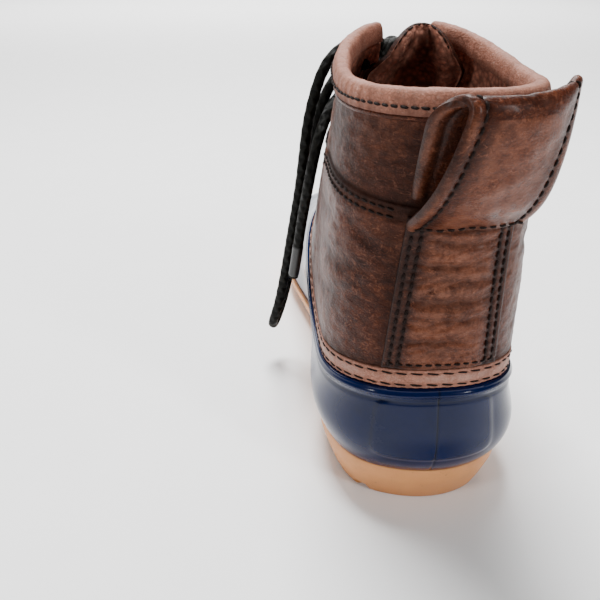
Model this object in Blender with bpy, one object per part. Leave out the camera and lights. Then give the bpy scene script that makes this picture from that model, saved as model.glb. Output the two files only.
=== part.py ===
"""A lace-up duck boot for the right foot: gum outsole, rubber shell and leather shaft.

The foot points along +Y, the lateral side is +X, and the boot stands on the plane z = 0.
Lengths are in metres. The boot is first worked out with its heel at y = 0, and the whole
is then moved so that the origin lies under the middle of the boot's bounding box.
"""

import math

import bmesh
import bpy
import numpy as np
from mathutils import Matrix, Vector

# Driving sizes of the last and the boot
BOOT_LENGTH = 0.280
BALL_WIDTH = 0.101
HEEL_WIDTH = 0.0785
SHAFT_WIDTH = 0.0775
COLLAR_HEIGHT = 0.173
SHELL_HEIGHT = 0.0715
SOLE_HEIGHT = 0.0200

# Walls and clearances
CLEARANCE = 0.0003
SHELL_WALL = 0.0026
SHAFT_WALL = 0.0024
PANEL_STEP = 0.0006
EYESTAY_STEP = 0.0007
LIP_BULGE = 0.0011
INSOLE_THICKNESS = 0.0035

# Strips, collar and loop
BAND_WIDTH = 0.0088
BAND_THICKNESS = 0.0013
ROLL_HEIGHT = 0.0082
ROLL_THICKNESS = 0.0072
STRIP_WIDTH_TOP = 0.0375
STRIP_WIDTH_FOOT = 0.0430
STRIP_THICKNESS = 0.0014
STRIP_LEAN = 0.0028
LOOP_WIDTH = 0.0385
LOOP_THICKNESS = 0.0026
LOOP_REACH = 0.0160
LOOP_HEIGHT = 0.0420
LOOP_LEAN = 0.0105
LOOP_TURN = 0.0025
LOOP_SHEAR = 0.70
LOOP_FOOT_HEIGHT = 0.1310
PANEL_SEAM_HEIGHT = 0.1330

# Throat, tongue, eyelets and lace
THROAT_GAP = 0.0090
COLLAR_GAP = 0.0105
EYESTAY_WIDTH = 0.0210
TONGUE_THICKNESS = 0.0040
TONGUE_GAP = 0.0012
TONGUE_RISE = 0.0030
TONGUE_TUCK = 0.0120
TONGUE_HALF_WIDTH = 0.0250
TONGUE_LEAN = 0.0030
TONGUE_CURL = 0.0120
EYELET_PAIRS = 5
EYELET_RADIUS = 0.0042
EYELET_BORE = 0.0022
EYELET_FLANGE = 0.0008
EYELET_INSET = 0.0085
LACE_RADIUS = 0.0025
LACE_DIP = 0.0025
LACE_LIFT = 0.0021
LACE_PAST = 0.03

# Outsole
LUG_DEPTH = 0.0032
LUG_GROOVE = 0.0042
LUG_PITCH = 0.0130
SOLE_LIP = 0.0014
SOLE_LIP_HEIGHT = 0.0036
SOLE_GROOVE = 0.0006
SOLE_TAPER = 0.0048
ARCH_RISE = 0.0045
TOE_SPRING = 0.0085
HEEL_END = 0.27
FOREFOOT_START = 0.42
SPRING_START = 0.70

# How finely the curved walls are cut into faces
SHELL_SPOKES = 60
SHELL_ROWS = 7
SHAFT_COLUMNS = 52
SHAFT_ROWS_BELOW = 6
SHAFT_ROWS_ABOVE = 3

# Power of the back half of the shaft's level sections: 2 is an ellipse, and more is squarer
BACK_ROUND = 2.35

UP = np.array([0.0, 0.0, 1.0])
AHEAD = np.array([0.0, 1.0, 0.0])

# Spokes of the shell, from the heel's back by the lateral side to the toe and back by the
# medial side. across and along place the shell's foot, as shares of the ball width (or the
# heel width, for the rows marked as heel) and of the boot's length. turn is the polar angle
# of the spoke's upper end on the shell's top line, in degrees. flare is the angle from the
# vertical at which the wall starts. low and high are the reaches of the two handles of the
# spoke's curve, as shares of the shell's height.
SPOKES = [
    # across, by_heel, along, turn, flare, low, high
    (0.010, True, 0.010, 0.0, 34.0, 0.28, 0.26),
    (0.260, True, 0.024, 27.0, 34.0, 0.28, 0.26),
    (0.430, True, 0.068, 54.0, 32.0, 0.28, 0.26),
    (0.495, True, 0.160, 94.0, 26.0, 0.28, 0.26),
    (0.480, True, 0.310, 130.0, 22.0, 0.30, 0.28),
    (0.430, False, 0.450, 149.0, 18.0, 0.34, 0.34),
    (0.492, False, 0.620, 161.5, 12.0, 0.42, 0.44),
    (0.470, False, 0.770, 168.5, 8.0, 0.48, 0.58),
    (0.360, False, 0.890, 173.5, 6.0, 0.50, 0.70),
    (0.160, False, 0.968, 177.5, 6.0, 0.50, 0.80),
    (-0.050, False, 0.986, 181.0, 6.0, 0.50, 0.83),
    (-0.245, False, 0.958, 184.5, 6.0, 0.50, 0.78),
    (-0.385, False, 0.880, 188.5, 6.0, 0.48, 0.68),
    (-0.430, False, 0.780, 192.5, 6.0, 0.46, 0.56),
    (-0.420, False, 0.670, 199.0, 4.0, 0.42, 0.44),
    (-0.338, False, 0.500, 210.0, 3.0, 0.34, 0.34),
    (-0.445, True, 0.345, 229.0, 14.0, 0.30, 0.28),
    (-0.500, True, 0.180, 266.0, 26.0, 0.28, 0.26),
    (-0.430, True, 0.075, 306.0, 32.0, 0.28, 0.26),
    (-0.255, True, 0.028, 333.0, 34.0, 0.28, 0.26),
]

# Level sections of the shaft. height is a share of the collar's height, back and front are
# shares of the boot's length, medial and lateral are shares of the shaft's width, middle is
# where the section is widest, as a share of the boot's length, and round is the power of the
# front half: 2 is an ellipse, and more is squarer.
SECTIONS = [
    # height, back, front, medial, lateral, middle, round
    (0.30, 0.004, 0.800, 0.515, 0.515, 0.175, 3.00),
    (0.41, 0.008, 0.680, 0.512, 0.512, 0.175, 2.80),
    (0.54, 0.016, 0.575, 0.508, 0.505, 0.175, 2.55),
    (0.68, 0.022, 0.500, 0.500, 0.497, 0.175, 2.35),
    (0.82, 0.018, 0.440, 0.480, 0.475, 0.176, 2.20),
    (0.94, 0.010, 0.398, 0.450, 0.445, 0.177, 2.10),
    (1.08, 0.004, 0.370, 0.430, 0.425, 0.178, 2.10),
]

# The knot lies before the tongue, between the collar's front ends. Half sizes, then place.
KNOT_SIZE = (0.0084, 0.0058, 0.0062)
KNOT_PLACE = np.array([-0.003, 0.1205, 0.1668])

# Routes of the bow's loops and the lace's ends, chosen by hand: across, along, height in metres
LACE_ROUTES = {
    "lace_loop_medial": [
        (-0.0114, 0.1192, 0.1703), (-0.0210, 0.1155, 0.1700), (-0.0310, 0.1115, 0.1635),
        (-0.0370, 0.1095, 0.1510), (-0.0410, 0.1090, 0.1335), (-0.0437, 0.1095, 0.1100),
        (-0.0475, 0.1105, 0.0850), (-0.0515, 0.1120, 0.0600), (-0.0555, 0.1130, 0.0390),
        (-0.0585, 0.1150, 0.0270), (-0.0575, 0.1200, 0.0235), (-0.0540, 0.1220, 0.0320),
        (-0.0500, 0.1205, 0.0500), (-0.0450, 0.1190, 0.0800), (-0.0400, 0.1185, 0.1100),
        (-0.0355, 0.1185, 0.1350), (-0.0290, 0.1190, 0.1515), (-0.0200, 0.1210, 0.1605),
        (-0.0112, 0.1223, 0.1637),
    ],
    "lace_loop_lateral": [
        (0.0047, 0.1193, 0.1698), (0.0110, 0.1180, 0.1720), (0.0165, 0.1165, 0.1710),
        (0.0220, 0.1145, 0.1675), (0.0270, 0.1120, 0.1610), (0.0310, 0.1095, 0.1520),
        (0.0345, 0.1080, 0.1380), (0.0375, 0.1085, 0.1200), (0.0390, 0.1110, 0.1050),
        (0.0385, 0.1160, 0.0990), (0.0365, 0.1195, 0.1060), (0.0335, 0.1210, 0.1200),
        (0.0285, 0.1220, 0.1380), (0.0215, 0.1225, 0.1530), (0.0140, 0.1220, 0.1615),
        (0.0056, 0.1219, 0.1650),
    ],
    "lace_end_medial": [
        (-0.0056, 0.1239, 0.1604), (-0.0125, 0.1290, 0.1535), (-0.0212, 0.1250, 0.1480),
        (-0.0288, 0.1140, 0.1435), (-0.0340, 0.1030, 0.1375), (-0.0378, 0.0970, 0.1285),
        (-0.0405, 0.0950, 0.1165), (-0.0425, 0.0965, 0.1040), (-0.0445, 0.0995, 0.0890),
        (-0.0463, 0.1020, 0.0730), (-0.0480, 0.1040, 0.0600),
    ],
    "lace_end_lateral": [
        (0.0014, 0.1243, 0.1622), (0.0075, 0.1310, 0.1535), (0.0135, 0.1370, 0.1425),
        (0.0195, 0.1435, 0.1285), (0.0245, 0.1500, 0.1135), (0.0280, 0.1565, 0.0985),
        (0.0300, 0.1630, 0.0860),
    ],
}

# The shell's top line and the collar's rim, by polar angle in degrees from the heel's back,
# as shares of the shell's height and of the collar's height. Both sides are alike.
TOP_LINE = [(0, 1.00), (35, 0.97), (70, 0.89), (110, 0.85), (145, 0.96), (165, 1.16), (180, 1.28)]
RIM_LINE = [(0, 1.000), (50, 0.990), (100, 0.990), (140, 1.020), (168, 1.045), (180, 1.045)]


def natural_spline(knots, values, at):
    """A smooth curve through a table's rows, straight past its ends."""
    knots = np.asarray(knots, float)
    values = np.asarray(values, float)
    steps = np.diff(knots)
    slopes = np.diff(values) / steps
    size = len(knots)
    system = np.eye(size)
    right = np.zeros(size)
    for i in range(1, size - 1):
        system[i, i - 1] = steps[i - 1]
        system[i, i] = 2 * (steps[i - 1] + steps[i])
        system[i, i + 1] = steps[i]
        right[i] = 6 * (slopes[i] - slopes[i - 1])
    bend = np.linalg.solve(system, right)
    at = np.asarray(at, float)
    i = np.clip(np.searchsorted(knots, at) - 1, 0, size - 2)
    step = knots[i + 1] - knots[i]
    a = np.clip((knots[i + 1] - at) / step, 0, 1)
    b = 1 - a
    inside = a * values[i] + b * values[i + 1]
    inside = inside + ((a**3 - a) * bend[i] + (b**3 - b) * bend[i + 1]) * step**2 / 6
    return inside


def closed_spline(values, at):
    """A smooth closed curve through evenly spaced rows. at counts rows."""
    values = np.asarray(values, float)
    size = len(values)
    system = np.roll(np.eye(size), 1, axis=1) + 4 * np.eye(size) + np.roll(np.eye(size), -1, axis=1)
    right = 6 * (np.roll(values, -1) - 2 * values + np.roll(values, 1))
    bend = np.linalg.solve(system, right)
    at = np.asarray(at, float) % size
    i = np.floor(at).astype(int) % size
    j = (i + 1) % size
    b = at - np.floor(at)
    a = 1 - b
    return a * values[i] + b * values[j] + ((a**3 - a) * bend[i] + (b**3 - b) * bend[j]) / 6


def unit(vectors):
    return vectors / np.linalg.norm(vectors, axis=-1, keepdims=True)


def turn_at(across, height, ahead=False):
    """Polar angle at which the level section lies across metres from the middle plane."""
    across = np.asarray(across, float)
    back, front, medial, lateral, middle, rounding = section(height)
    share = np.clip(np.abs(across) / np.where(across >= 0, lateral, medial), 0, 1)
    if ahead:
        along = -(front - middle) * (1 - share**rounding) ** (1 / rounding)
    else:
        along = (middle - back) * (1 - share**BACK_ROUND) ** (1 / BACK_ROUND)
    return np.degrees(np.arctan2(across, along))


def by_turn(table, turn):
    """A table by polar angle, read on either side of the boot."""
    fold = 180 - np.abs(np.asarray(turn, float) % 360 - 180)
    mirrored = [(-row[0], row[1]) for row in table[:0:-1]] + table
    mirrored += [(360 - row[0], row[1]) for row in table[-2::-1]]
    return natural_spline([row[0] for row in mirrored], [row[1] for row in mirrored], fold)


def section(height):
    """Back, front, medial and lateral reach, middle and front roundness of a level section."""
    rows = np.array(SECTIONS)
    heights = rows[:, 0] * COLLAR_HEIGHT
    sizes = (BOOT_LENGTH, BOOT_LENGTH, SHAFT_WIDTH, SHAFT_WIDTH, BOOT_LENGTH, 1.0)
    return [natural_spline(heights, rows[:, i + 1] * size, height) for i, size in enumerate(sizes)]


def shaft_point(turn, height):
    """A point of the shaft's outer face, whose level section is a superellipse."""
    turn = np.asarray(turn, float)
    height = np.asarray(height, float)
    back, front, medial, lateral, middle, rounding = section(height)
    angle = np.radians(turn)
    across, along = np.sin(angle), -np.cos(angle)
    reach_across = np.where(across >= 0, lateral, medial)
    reach_along = np.where(along >= 0, front - middle, middle - back)
    power = np.where(along >= 0, rounding, BACK_ROUND)
    shares = np.abs(across / reach_across) ** power + np.abs(along / reach_along) ** power
    radius = shares ** (-1 / power)
    return np.stack([radius * across, middle + radius * along, height + 0 * turn], -1)


def shaft_normal(turn, height):
    """Outward direction of the shaft's outer face."""
    turn = np.asarray(turn, float)
    height = np.asarray(height, float)
    around = shaft_point(turn + 0.5, height) - shaft_point(turn - 0.5, height)
    upward = shaft_point(turn, height + 0.0005) - shaft_point(turn, height - 0.0005)
    return unit(np.cross(around, upward))


def top_height(turn):
    return SHELL_HEIGHT * by_turn(TOP_LINE, turn)


def rim_height(turn):
    return COLLAR_HEIGHT * by_turn(RIM_LINE, turn)


def top_line(turn):
    """The shell's top line, with the wall's outward and upward directions there."""
    point = shaft_point(turn, top_height(turn))
    ahead, behind = turn + 0.5, turn - 0.5
    along = shaft_point(ahead, top_height(ahead)) - shaft_point(behind, top_height(behind))
    normal = shaft_normal(turn, top_height(turn))
    rise = unit(np.cross(normal, along))
    return point, normal, rise


def sole_top(along):
    """Height of the sole's upper face: thinner at the ball, lifted at the toe."""
    shares = [0.0, 0.22, 0.40, 0.62, 0.80, 1.0]
    heights = [1.0, 0.98, 0.94, 0.80, 0.92, 1.30]
    return SOLE_HEIGHT * natural_spline(shares, heights, np.asarray(along) / BOOT_LENGTH)


def spokes(at):
    """The spoke table's columns in metres and degrees, at rows counted by at."""
    rows = SPOKES
    across = [row[0] * (HEEL_WIDTH if row[1] else BALL_WIDTH) for row in rows]
    along = [row[2] * BOOT_LENGTH for row in rows]
    turn_rows = np.array([row[3] for row in rows])
    even = np.arange(len(rows)) * 360 / len(rows)
    turn = closed_spline(turn_rows - even, at) + np.asarray(at) * 360 / len(rows)
    flare = np.radians(closed_spline([row[4] for row in rows], at))
    low = SHELL_HEIGHT * closed_spline([row[5] for row in rows], at)
    high = SHELL_HEIGHT * closed_spline([row[6] for row in rows], at)
    return closed_spline(across, at), closed_spline(along, at), turn, flare, low, high


def foot_line(at, inset=0.0):
    """The line where shell and sole meet, and its outward direction in plan."""
    across, along = spokes(at)[:2]
    ahead = spokes(at + 0.02)
    behind = spokes(at - 0.02)
    tangent = unit(np.stack([ahead[0] - behind[0], ahead[1] - behind[1], 0 * across], -1))
    outward = np.cross(tangent, UP)
    point = np.stack([across, along, sole_top(along)], -1) - np.asarray(inset)[..., None] * outward
    return point, outward


def shell_curve(at, share):
    """The shell's outer face: one Bezier curve for each spoke, from the sole to under the band."""
    flare, low, high = spokes(at)[3:]
    foot, outward = foot_line(at)
    top, normal, rise = top_line(spokes(at)[2])
    head = top - BAND_WIDTH * rise + LIP_BULGE * normal
    lean = np.sin(flare)[..., None] * outward + np.cos(flare)[..., None] * UP
    low_handle = foot + low[..., None] * lean
    fall = unit(unit(foot - head) - rise)
    high_handle = head + high[..., None] * fall
    t = np.asarray(share, float)[..., None]
    lower = (1 - t) ** 3 * foot + 3 * t * (1 - t) ** 2 * low_handle
    return lower + 3 * t**2 * (1 - t) * high_handle + t**3 * head


def grid_normals(grid, closed):
    """Outward directions of a grid whose rows go up and whose columns go round from back to lateral."""
    upward = np.gradient(grid, axis=0)
    if closed:
        around = np.roll(grid, -1, axis=1) - np.roll(grid, 1, axis=1)
    else:
        around = np.gradient(grid, axis=1)
    return unit(np.cross(around, upward))


def mesh_object(name, points, faces, collection, material):
    """One sub-part from its points and faces, shaded smooth but for its sharp edges."""
    mesh = bpy.data.meshes.new(name)
    mesh.from_pydata(points.reshape(-1, 3).tolist(), [], faces)
    mesh.materials.append(material)
    mesh.shade_smooth()
    mesh.set_sharp_from_angle(angle=math.radians(40))
    obj = bpy.data.objects.new(name, mesh)
    collection.objects.link(obj)
    return obj


def side_faces(rows, columns, closed, shift=0):
    """Faces of a grid whose rows go up and whose columns go round against the clock."""
    faces = []
    for r in range(rows - 1):
        for c in range(columns if closed else columns - 1):
            a, b = r * columns + c, r * columns + (c + 1) % columns
            faces.append((a + shift, b + shift, b + columns + shift, a + columns + shift))
    return faces


def wall_between(name, outer, inner, closed, collection, material):
    """A solid wall between two grids of the same size: a loft between unlike sections."""
    rows, columns = outer.shape[:2]
    shift = rows * columns
    top = (rows - 1) * columns
    faces = side_faces(rows, columns, closed)
    faces += [tuple(reversed(face)) for face in side_faces(rows, columns, closed, shift)]
    for c in range(columns if closed else columns - 1):
        a, b = c, (c + 1) % columns
        faces.append((b, a, a + shift, b + shift))
        faces.append((a + top, b + top, b + top + shift, a + top + shift))
    if not closed:
        for r in range(rows - 1):
            a, d = r * columns, (r + 1) * columns
            b, e = a + columns - 1, d + columns - 1
            faces.append((a, d, d + shift, a + shift))
            faces.append((e, b, b + shift, e + shift))
    points = np.concatenate([outer.reshape(-1, 3), inner.reshape(-1, 3)])
    return mesh_object(name, points, faces, collection, material)


def swept_solid(name, rings, collection, material):
    """A solid carried along a path: each row is a section, from its outer foot over its top."""
    rows, columns = rings.shape[:2]
    faces = [tuple(reversed(face)) for face in side_faces(rows, columns, True)]
    faces.append(tuple(range(columns)))
    faces.append(tuple(reversed(range((rows - 1) * columns, rows * columns))))
    return mesh_object(name, rings, faces, collection, material)


def cross_strips(columns, shift):
    """Closes a foot-shaped ring with strips from side to side, so that the face can bend."""
    faces = []
    for i in range(columns // 2):
        corners = [i, i + 1, columns - i - 1, (columns - i) % columns]
        faces.append(tuple(corner + shift for corner in dict.fromkeys(corners)))
    return faces


def stacked_solid(name, rings, collection, material):
    """A foot-shaped solid from rings stacked upwards."""
    rows, columns = rings.shape[:2]
    faces = side_faces(rows, columns, True)
    faces += [tuple(reversed(face)) for face in cross_strips(columns, 0)]
    faces += cross_strips(columns, (rows - 1) * columns)
    return mesh_object(name, rings, faces, collection, material)


def make_shell(collection, material):
    """The rubber lower: bulging sides, a thinned margin under the band, one even wall."""
    at = np.arange(SHELL_SPOKES) * len(SPOKES) / SHELL_SPOKES
    shares = np.linspace(0, 1, SHELL_ROWS)
    outer = np.stack([shell_curve(at, share + 0 * at) for share in shares])
    outer[0] = outer[0] + CLEARANCE * UP
    inner = outer - SHELL_WALL * grid_normals(outer, True)
    inner[0, :, 2] = outer[0, :, 2]
    top, normal, rise = top_line(spokes(at)[2])
    rebate = BAND_THICKNESS + CLEARANCE
    margin = SHELL_WALL + CLEARANCE
    ledge = top - (BAND_WIDTH - CLEARANCE) * rise
    outer = np.concatenate([outer, [ledge - rebate * normal, top - rebate * normal]])
    inner[-1] = ledge - margin * normal - CLEARANCE * rise
    inner = np.concatenate([inner, [ledge - margin * normal + CLEARANCE * rise, top - margin * normal]])
    return wall_between("shell", outer, inner, True, collection, material)


def make_band(collection, material):
    """The leather strip that lies in the shell's rebate, flush with the shaft."""
    at = np.arange(SHELL_SPOKES) * len(SPOKES) / SHELL_SPOKES
    top, normal, rise = top_line(spokes(at)[2])
    low = top - (BAND_WIDTH - 2 * CLEARANCE) * rise
    outer = np.stack([low, top])
    return wall_between("shell_band", outer, outer - BAND_THICKNESS * normal, True, collection, material)


def front_turn(share):
    """Polar angle of the shaft's front edge, from the throat (0) to the collar (1)."""
    height = top_height(180.0) + share * (rim_height(180.0) - top_height(180.0))
    return turn_at(THROAT_GAP + share * (COLLAR_GAP - THROAT_GAP), height, ahead=True)


def seam_height(turn):
    """The seam between the quarter and the collar panel, rising gently to the front."""
    fold = 180 - np.abs(np.asarray(turn, float) % 360 - 180)
    return PANEL_SEAM_HEIGHT + 0.07 * PANEL_SEAM_HEIGHT * (fold / 180)


def even_turns(height, edge, count):
    """Polar angles from edge to edge, closest together where the level section bends most."""
    fine = np.linspace(-edge, edge, 721)
    steps = np.diff(shaft_point(fine, height + 0 * fine), axis=0)
    lengths = np.linalg.norm(steps, axis=1)
    bends = np.linalg.norm(np.diff(unit(steps), axis=0, append=unit(steps)[-1:]), axis=1)
    weights = lengths / lengths.sum() + 0.8 * bends / bends.sum()
    reached = np.concatenate([[0.0], np.cumsum(weights)])
    return np.interp(np.linspace(0, reached[-1], count), reached, fine)


def shaft_grid(columns):
    """Turns and heights of the shaft's grid, with a close pair of rows at the panel seam."""
    below = np.linspace(0, 1, SHAFT_ROWS_BELOW)
    above = np.linspace(0, 1, SHAFT_ROWS_ABOVE)
    seam_share = (PANEL_SEAM_HEIGHT - SHELL_HEIGHT) / (COLLAR_HEIGHT - SHELL_HEIGHT)
    turns, heights, steps = [], [], []
    for share in below:
        level = SHELL_HEIGHT + share * (PANEL_SEAM_HEIGHT - SHELL_HEIGHT)
        turn = even_turns(level, front_turn(share * seam_share), columns)
        start = top_height(turn) + 2 * CLEARANCE
        turns.append(turn)
        heights.append(start + share * (seam_height(turn) - start))
        steps.append(0 * turn)
    for share in above:
        level = PANEL_SEAM_HEIGHT + share * (COLLAR_HEIGHT - ROLL_HEIGHT - PANEL_SEAM_HEIGHT)
        turn = even_turns(level, front_turn(seam_share + share * (1 - seam_share)), columns)
        end = rim_height(turn) - ROLL_HEIGHT
        low = seam_height(turn) + PANEL_STEP
        turns.append(turn)
        heights.append(low + share * (end - low))
        steps.append(0 * turn - PANEL_STEP)
    return np.array(turns), np.array(heights), np.array(steps)


def make_shaft(collection, material):
    """The leather upper: one hollow wall, with a step at the collar panel and at the eyestays."""
    turns, heights, steps = shaft_grid(SHAFT_COLUMNS)
    point, normal = shaft_point(turns, heights), shaft_normal(turns, heights)
    from_edge = np.linalg.norm(point[:, :1] - point, axis=-1)
    from_edge = np.minimum(from_edge, np.linalg.norm(point[:, -1:] - point, axis=-1))
    steps = steps + np.where(from_edge < EYESTAY_WIDTH, EYESTAY_STEP, 0)
    outer = point + steps[..., None] * normal
    inner = point - SHAFT_WALL * normal
    return wall_between("shaft", outer, inner, False, collection, material)


def make_collar_roll(collection, material):
    """The padded roll on the shaft's top edge, from one front corner to the other."""
    turns = even_turns(COLLAR_HEIGHT, front_turn(1.0), SHAFT_COLUMNS)
    rim = rim_height(turns)
    point, normal = shaft_point(turns, rim), shaft_normal(turns, rim)
    foot = rim - ROLL_HEIGHT + CLEARANCE
    outward = unit(normal * np.array([1.0, 1.0, 0.0]))
    middle = point - (SHAFT_WALL / 2) * outward
    half = ROLL_THICKNESS / 2
    round_top = [(1.0, 0.0), (1.0, 0.62), (0.72, 0.90), (0.0, 1.0)]
    round_top += [(-side, rise) for side, rise in round_top[2::-1]]
    taper = np.clip(np.minimum(turns - turns[0], turns[-1] - turns) / 6, 0, 1)
    plump = (0.80 + 0.20 * taper) * half
    ring = []
    for side, rise in round_top:
        place = middle + side * plump[:, None] * outward
        place[:, 2] = foot + rise * (rim - foot)
        ring.append(place)
    return swept_solid("collar_roll", np.stack(ring, 1), collection, material)


def strip_grid(columns, rows):
    """The heel strip's outline on the shaft, from above the band to the loop's foot."""
    sides = np.linspace(-1, 1, columns)
    grid = []
    for share in np.linspace(0, 1, rows):
        half = (STRIP_WIDTH_FOOT + share * (STRIP_WIDTH_TOP - STRIP_WIDTH_FOOT)) / 2
        middle_height = SHELL_HEIGHT + share * (LOOP_FOOT_HEIGHT - SHELL_HEIGHT)
        turn = turn_at(sides * half + share * STRIP_LEAN, middle_height)
        start = top_height(turn) + 2 * CLEARANCE
        height = start + share * (LOOP_FOOT_HEIGHT - start)
        grid.append((turn, height))
    return grid


def make_heel_strip(collection, material):
    """The back stay, which lies on the shaft."""
    grid = strip_grid(11, 9)
    turns = np.array([row[0] for row in grid])
    heights = np.array([row[1] for row in grid])
    seat = shaft_point(turns, heights) + CLEARANCE * shaft_normal(turns, heights)
    outer = seat + STRIP_THICKNESS * shaft_normal(turns, heights)
    return wall_between("heel_strip", outer, seat, False, collection, material)


def loop_path():
    """The loop's side view, as reach behind the shaft and height: up the outside, over and down."""
    reach, tall = LOOP_REACH, LOOP_HEIGHT
    low, half = LOOP_FOOT_HEIGHT, LOOP_THICKNESS / 2
    sewn = half + CLEARANCE
    route = [
        (sewn + STRIP_THICKNESS + 2 * CLEARANCE, low - 0.06 * tall),
        (0.50 * reach, low + 0.05 * tall),
        (0.80 * reach, low + 0.22 * tall),
        (0.98 * reach, low + 0.46 * tall),
        (1.02 * reach, low + 0.71 * tall),
        (0.97 * reach, low + 0.91 * tall),
        (0.83 * reach, low + 1.00 * tall),
        (0.67 * reach, low + 0.95 * tall),
        (0.55 * reach, low + 0.80 * tall),
        (0.43 * reach, low + 0.60 * tall),
        (0.28 * reach, low + 0.38 * tall),
        (sewn + CLEARANCE, low + 0.18 * tall),
    ]
    return np.array(route)


def make_pull_loop(collection, material):
    """The folded loop: a strap carried over its side view. Its outer leg leans to the lateral side."""
    route = loop_path()
    count = len(route)
    fine = np.linspace(0, count - 1, 2 * count - 1)
    reach = natural_spline(np.arange(count), route[:, 0], fine)
    height = natural_spline(np.arange(count), route[:, 1], fine)
    sides = np.linspace(-1, 1, 7)
    rise = np.clip((height - LOOP_FOOT_HEIGHT) / LOOP_HEIGHT, 0, 1)
    over = np.clip((fine - 5) / 3, 0, 1)
    lean = LOOP_LEAN * rise * (1 - LOOP_SHEAR * over**2 * (3 - 2 * over))
    width = STRIP_WIDTH_TOP + (LOOP_WIDTH - STRIP_WIDTH_TOP) * rise
    across = sides[None] * width[:, None] / 2 + (STRIP_LEAN + lean)[:, None]
    level = height[:, None] + 0 * across
    turn = turn_at(across, level)
    normal = shaft_normal(turn, level)
    away = np.clip((reach - reach[0]) / LOOP_REACH, 0, 1)[:, None, None]
    direction = unit((1 - away) * normal - away * AHEAD)
    out = reach[:, None] - LOOP_TURN * sides * away[..., 0]
    grid = shaft_point(turn, level) + out[..., None] * direction
    half = LOOP_THICKNESS / 2 * grid_normals(grid, False)
    return wall_between("pull_loop", grid + half, grid - half, False, collection, material)


def tongue_grid(columns, rows):
    """The tongue's outer face: under the eyestays, then free and curled above the collar."""
    sides = np.linspace(-1, 1, columns)
    low = top_height(180.0) - TONGUE_TUCK
    high = rim_height(180.0) + TONGUE_RISE
    under_roll = rim_height(180.0) - 2 * ROLL_HEIGHT
    grid = []
    for share in np.linspace(0, 1, rows):
        free = np.clip((share - 0.62) / 0.38, 0, 1)
        taper = np.sqrt(np.clip(1 - np.clip((share - 0.74) / 0.27, 0, 1) ** 2.2, 0, 1))
        half = TONGUE_HALF_WIDTH * (0.86 + 0.14 * share) * taper
        height = low + share * (high - low)
        inside = np.clip((height - under_roll) / ROLL_HEIGHT, 0, 1)
        inset = SHAFT_WALL + TONGUE_GAP + inside * (ROLL_THICKNESS - SHAFT_WALL)
        turn = turn_at(sides * half, height, ahead=True)
        point = shaft_point(turn, height + 0 * turn) - inset * shaft_normal(turn, height + 0 * turn)
        curl = free * (0.004 + TONGUE_CURL * (sides * taper) ** 2)
        point[:, 0] += TONGUE_LEAN * free**1.3
        point[:, 1] -= curl + 0.006 * free
        grid.append(point)
    return np.array(grid)


def make_tongue(collection, material):
    grid = tongue_grid(11, 13)[:, ::-1]
    normals = grid_normals(grid, False)
    inner = grid - TONGUE_THICKNESS * normals
    return wall_between("tongue", grid, inner, False, collection, material)


def flat_outline(at, inset, height):
    """A ring of the sole's outline, inset in plan, at a height or a height for each point."""
    point, _ = foot_line(at, inset)
    point[:, 2] = height
    return point


def tread_height(along):
    """Height of the tread: two flats on the floor, an arch between them and a toe spring."""
    share = np.asarray(along) / BOOT_LENGTH
    arch_in = np.clip((share - HEEL_END) / 0.02, 0, 1)
    arch_out = np.clip((FOREFOOT_START - share) / 0.08, 0, 1)
    spring = np.clip((share - SPRING_START) / (1 - SPRING_START), 0, 1)
    return ARCH_RISE * np.minimum(arch_in, arch_out) + TOE_SPRING * spring**1.8


def make_outsole(collection, material, cutters):
    """The gum sole: a stepped side between the shell's foot and a slightly smaller tread."""
    at = np.arange(SHELL_SPOKES) * len(SPOKES) / SHELL_SPOKES
    foot, _ = foot_line(at)
    along = foot[:, 1]
    forward = np.clip(along / BOOT_LENGTH / 0.35 - 0.3, 0, 1)
    lip = SOLE_LIP * forward
    tread = tread_height(along)
    upper = sole_top(along)
    rings = [
        flat_outline(at, SOLE_TAPER, tread),
        flat_outline(at, 0.30 * SOLE_TAPER, 0.5 * (tread + upper)),
        flat_outline(at, SOLE_GROOVE - lip, upper - SOLE_LIP_HEIGHT - SOLE_GROOVE),
        flat_outline(at, -lip, upper - SOLE_LIP_HEIGHT),
        flat_outline(at, -lip, upper),
    ]
    obj = stacked_solid("outsole", np.array(rings), collection, material)
    cut_tread(obj, cutters)
    return obj


def cut_tread(sole, cutters):
    """Cross grooves between the lugs of heel and forefoot, joined into one cutter."""
    places = list(np.arange(0.016, HEEL_END * BOOT_LENGTH - 0.006, LUG_PITCH))
    places += list(np.arange(FOREFOOT_START * BOOT_LENGTH + 0.012, 0.93 * BOOT_LENGTH, LUG_PITCH))
    for number, along in enumerate(places):
        bpy.ops.mesh.primitive_cube_add(size=1)
        cutter = bpy.context.active_object
        cutter.name = f"groove_{number}"
        tall = 2 * LUG_DEPTH
        cutter.scale = (1.4 * BALL_WIDTH, LUG_GROOVE, tall)
        cutter.location = (0, along, tread_height(along))
        for holder in list(cutter.users_collection):
            holder.objects.unlink(cutter)
        cutters.objects.link(cutter)
        cutter.hide_render = True
        cutter.display_type = "WIRE"
        cut = sole.modifiers.new(cutter.name, "BOOLEAN")
        cut.operation = "DIFFERENCE"
        cut.object = cutter


def make_insole(collection, material):
    """A thin footbed on the sole, clear of the shell's wall."""
    count = 36
    at = np.arange(count) * len(SPOKES) / count
    inset = SHELL_WALL + 0.0022
    foot, _ = foot_line(at, inset)
    low = sole_top(foot[:, 1]) + CLEARANCE
    rings = []
    for height in (0.0, INSOLE_THICKNESS):
        ring, _ = foot_line(at, inset)
        ring[:, 2] = low + height
        rings.append(ring)
    return stacked_solid("insole", np.array(rings), collection, material)


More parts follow.
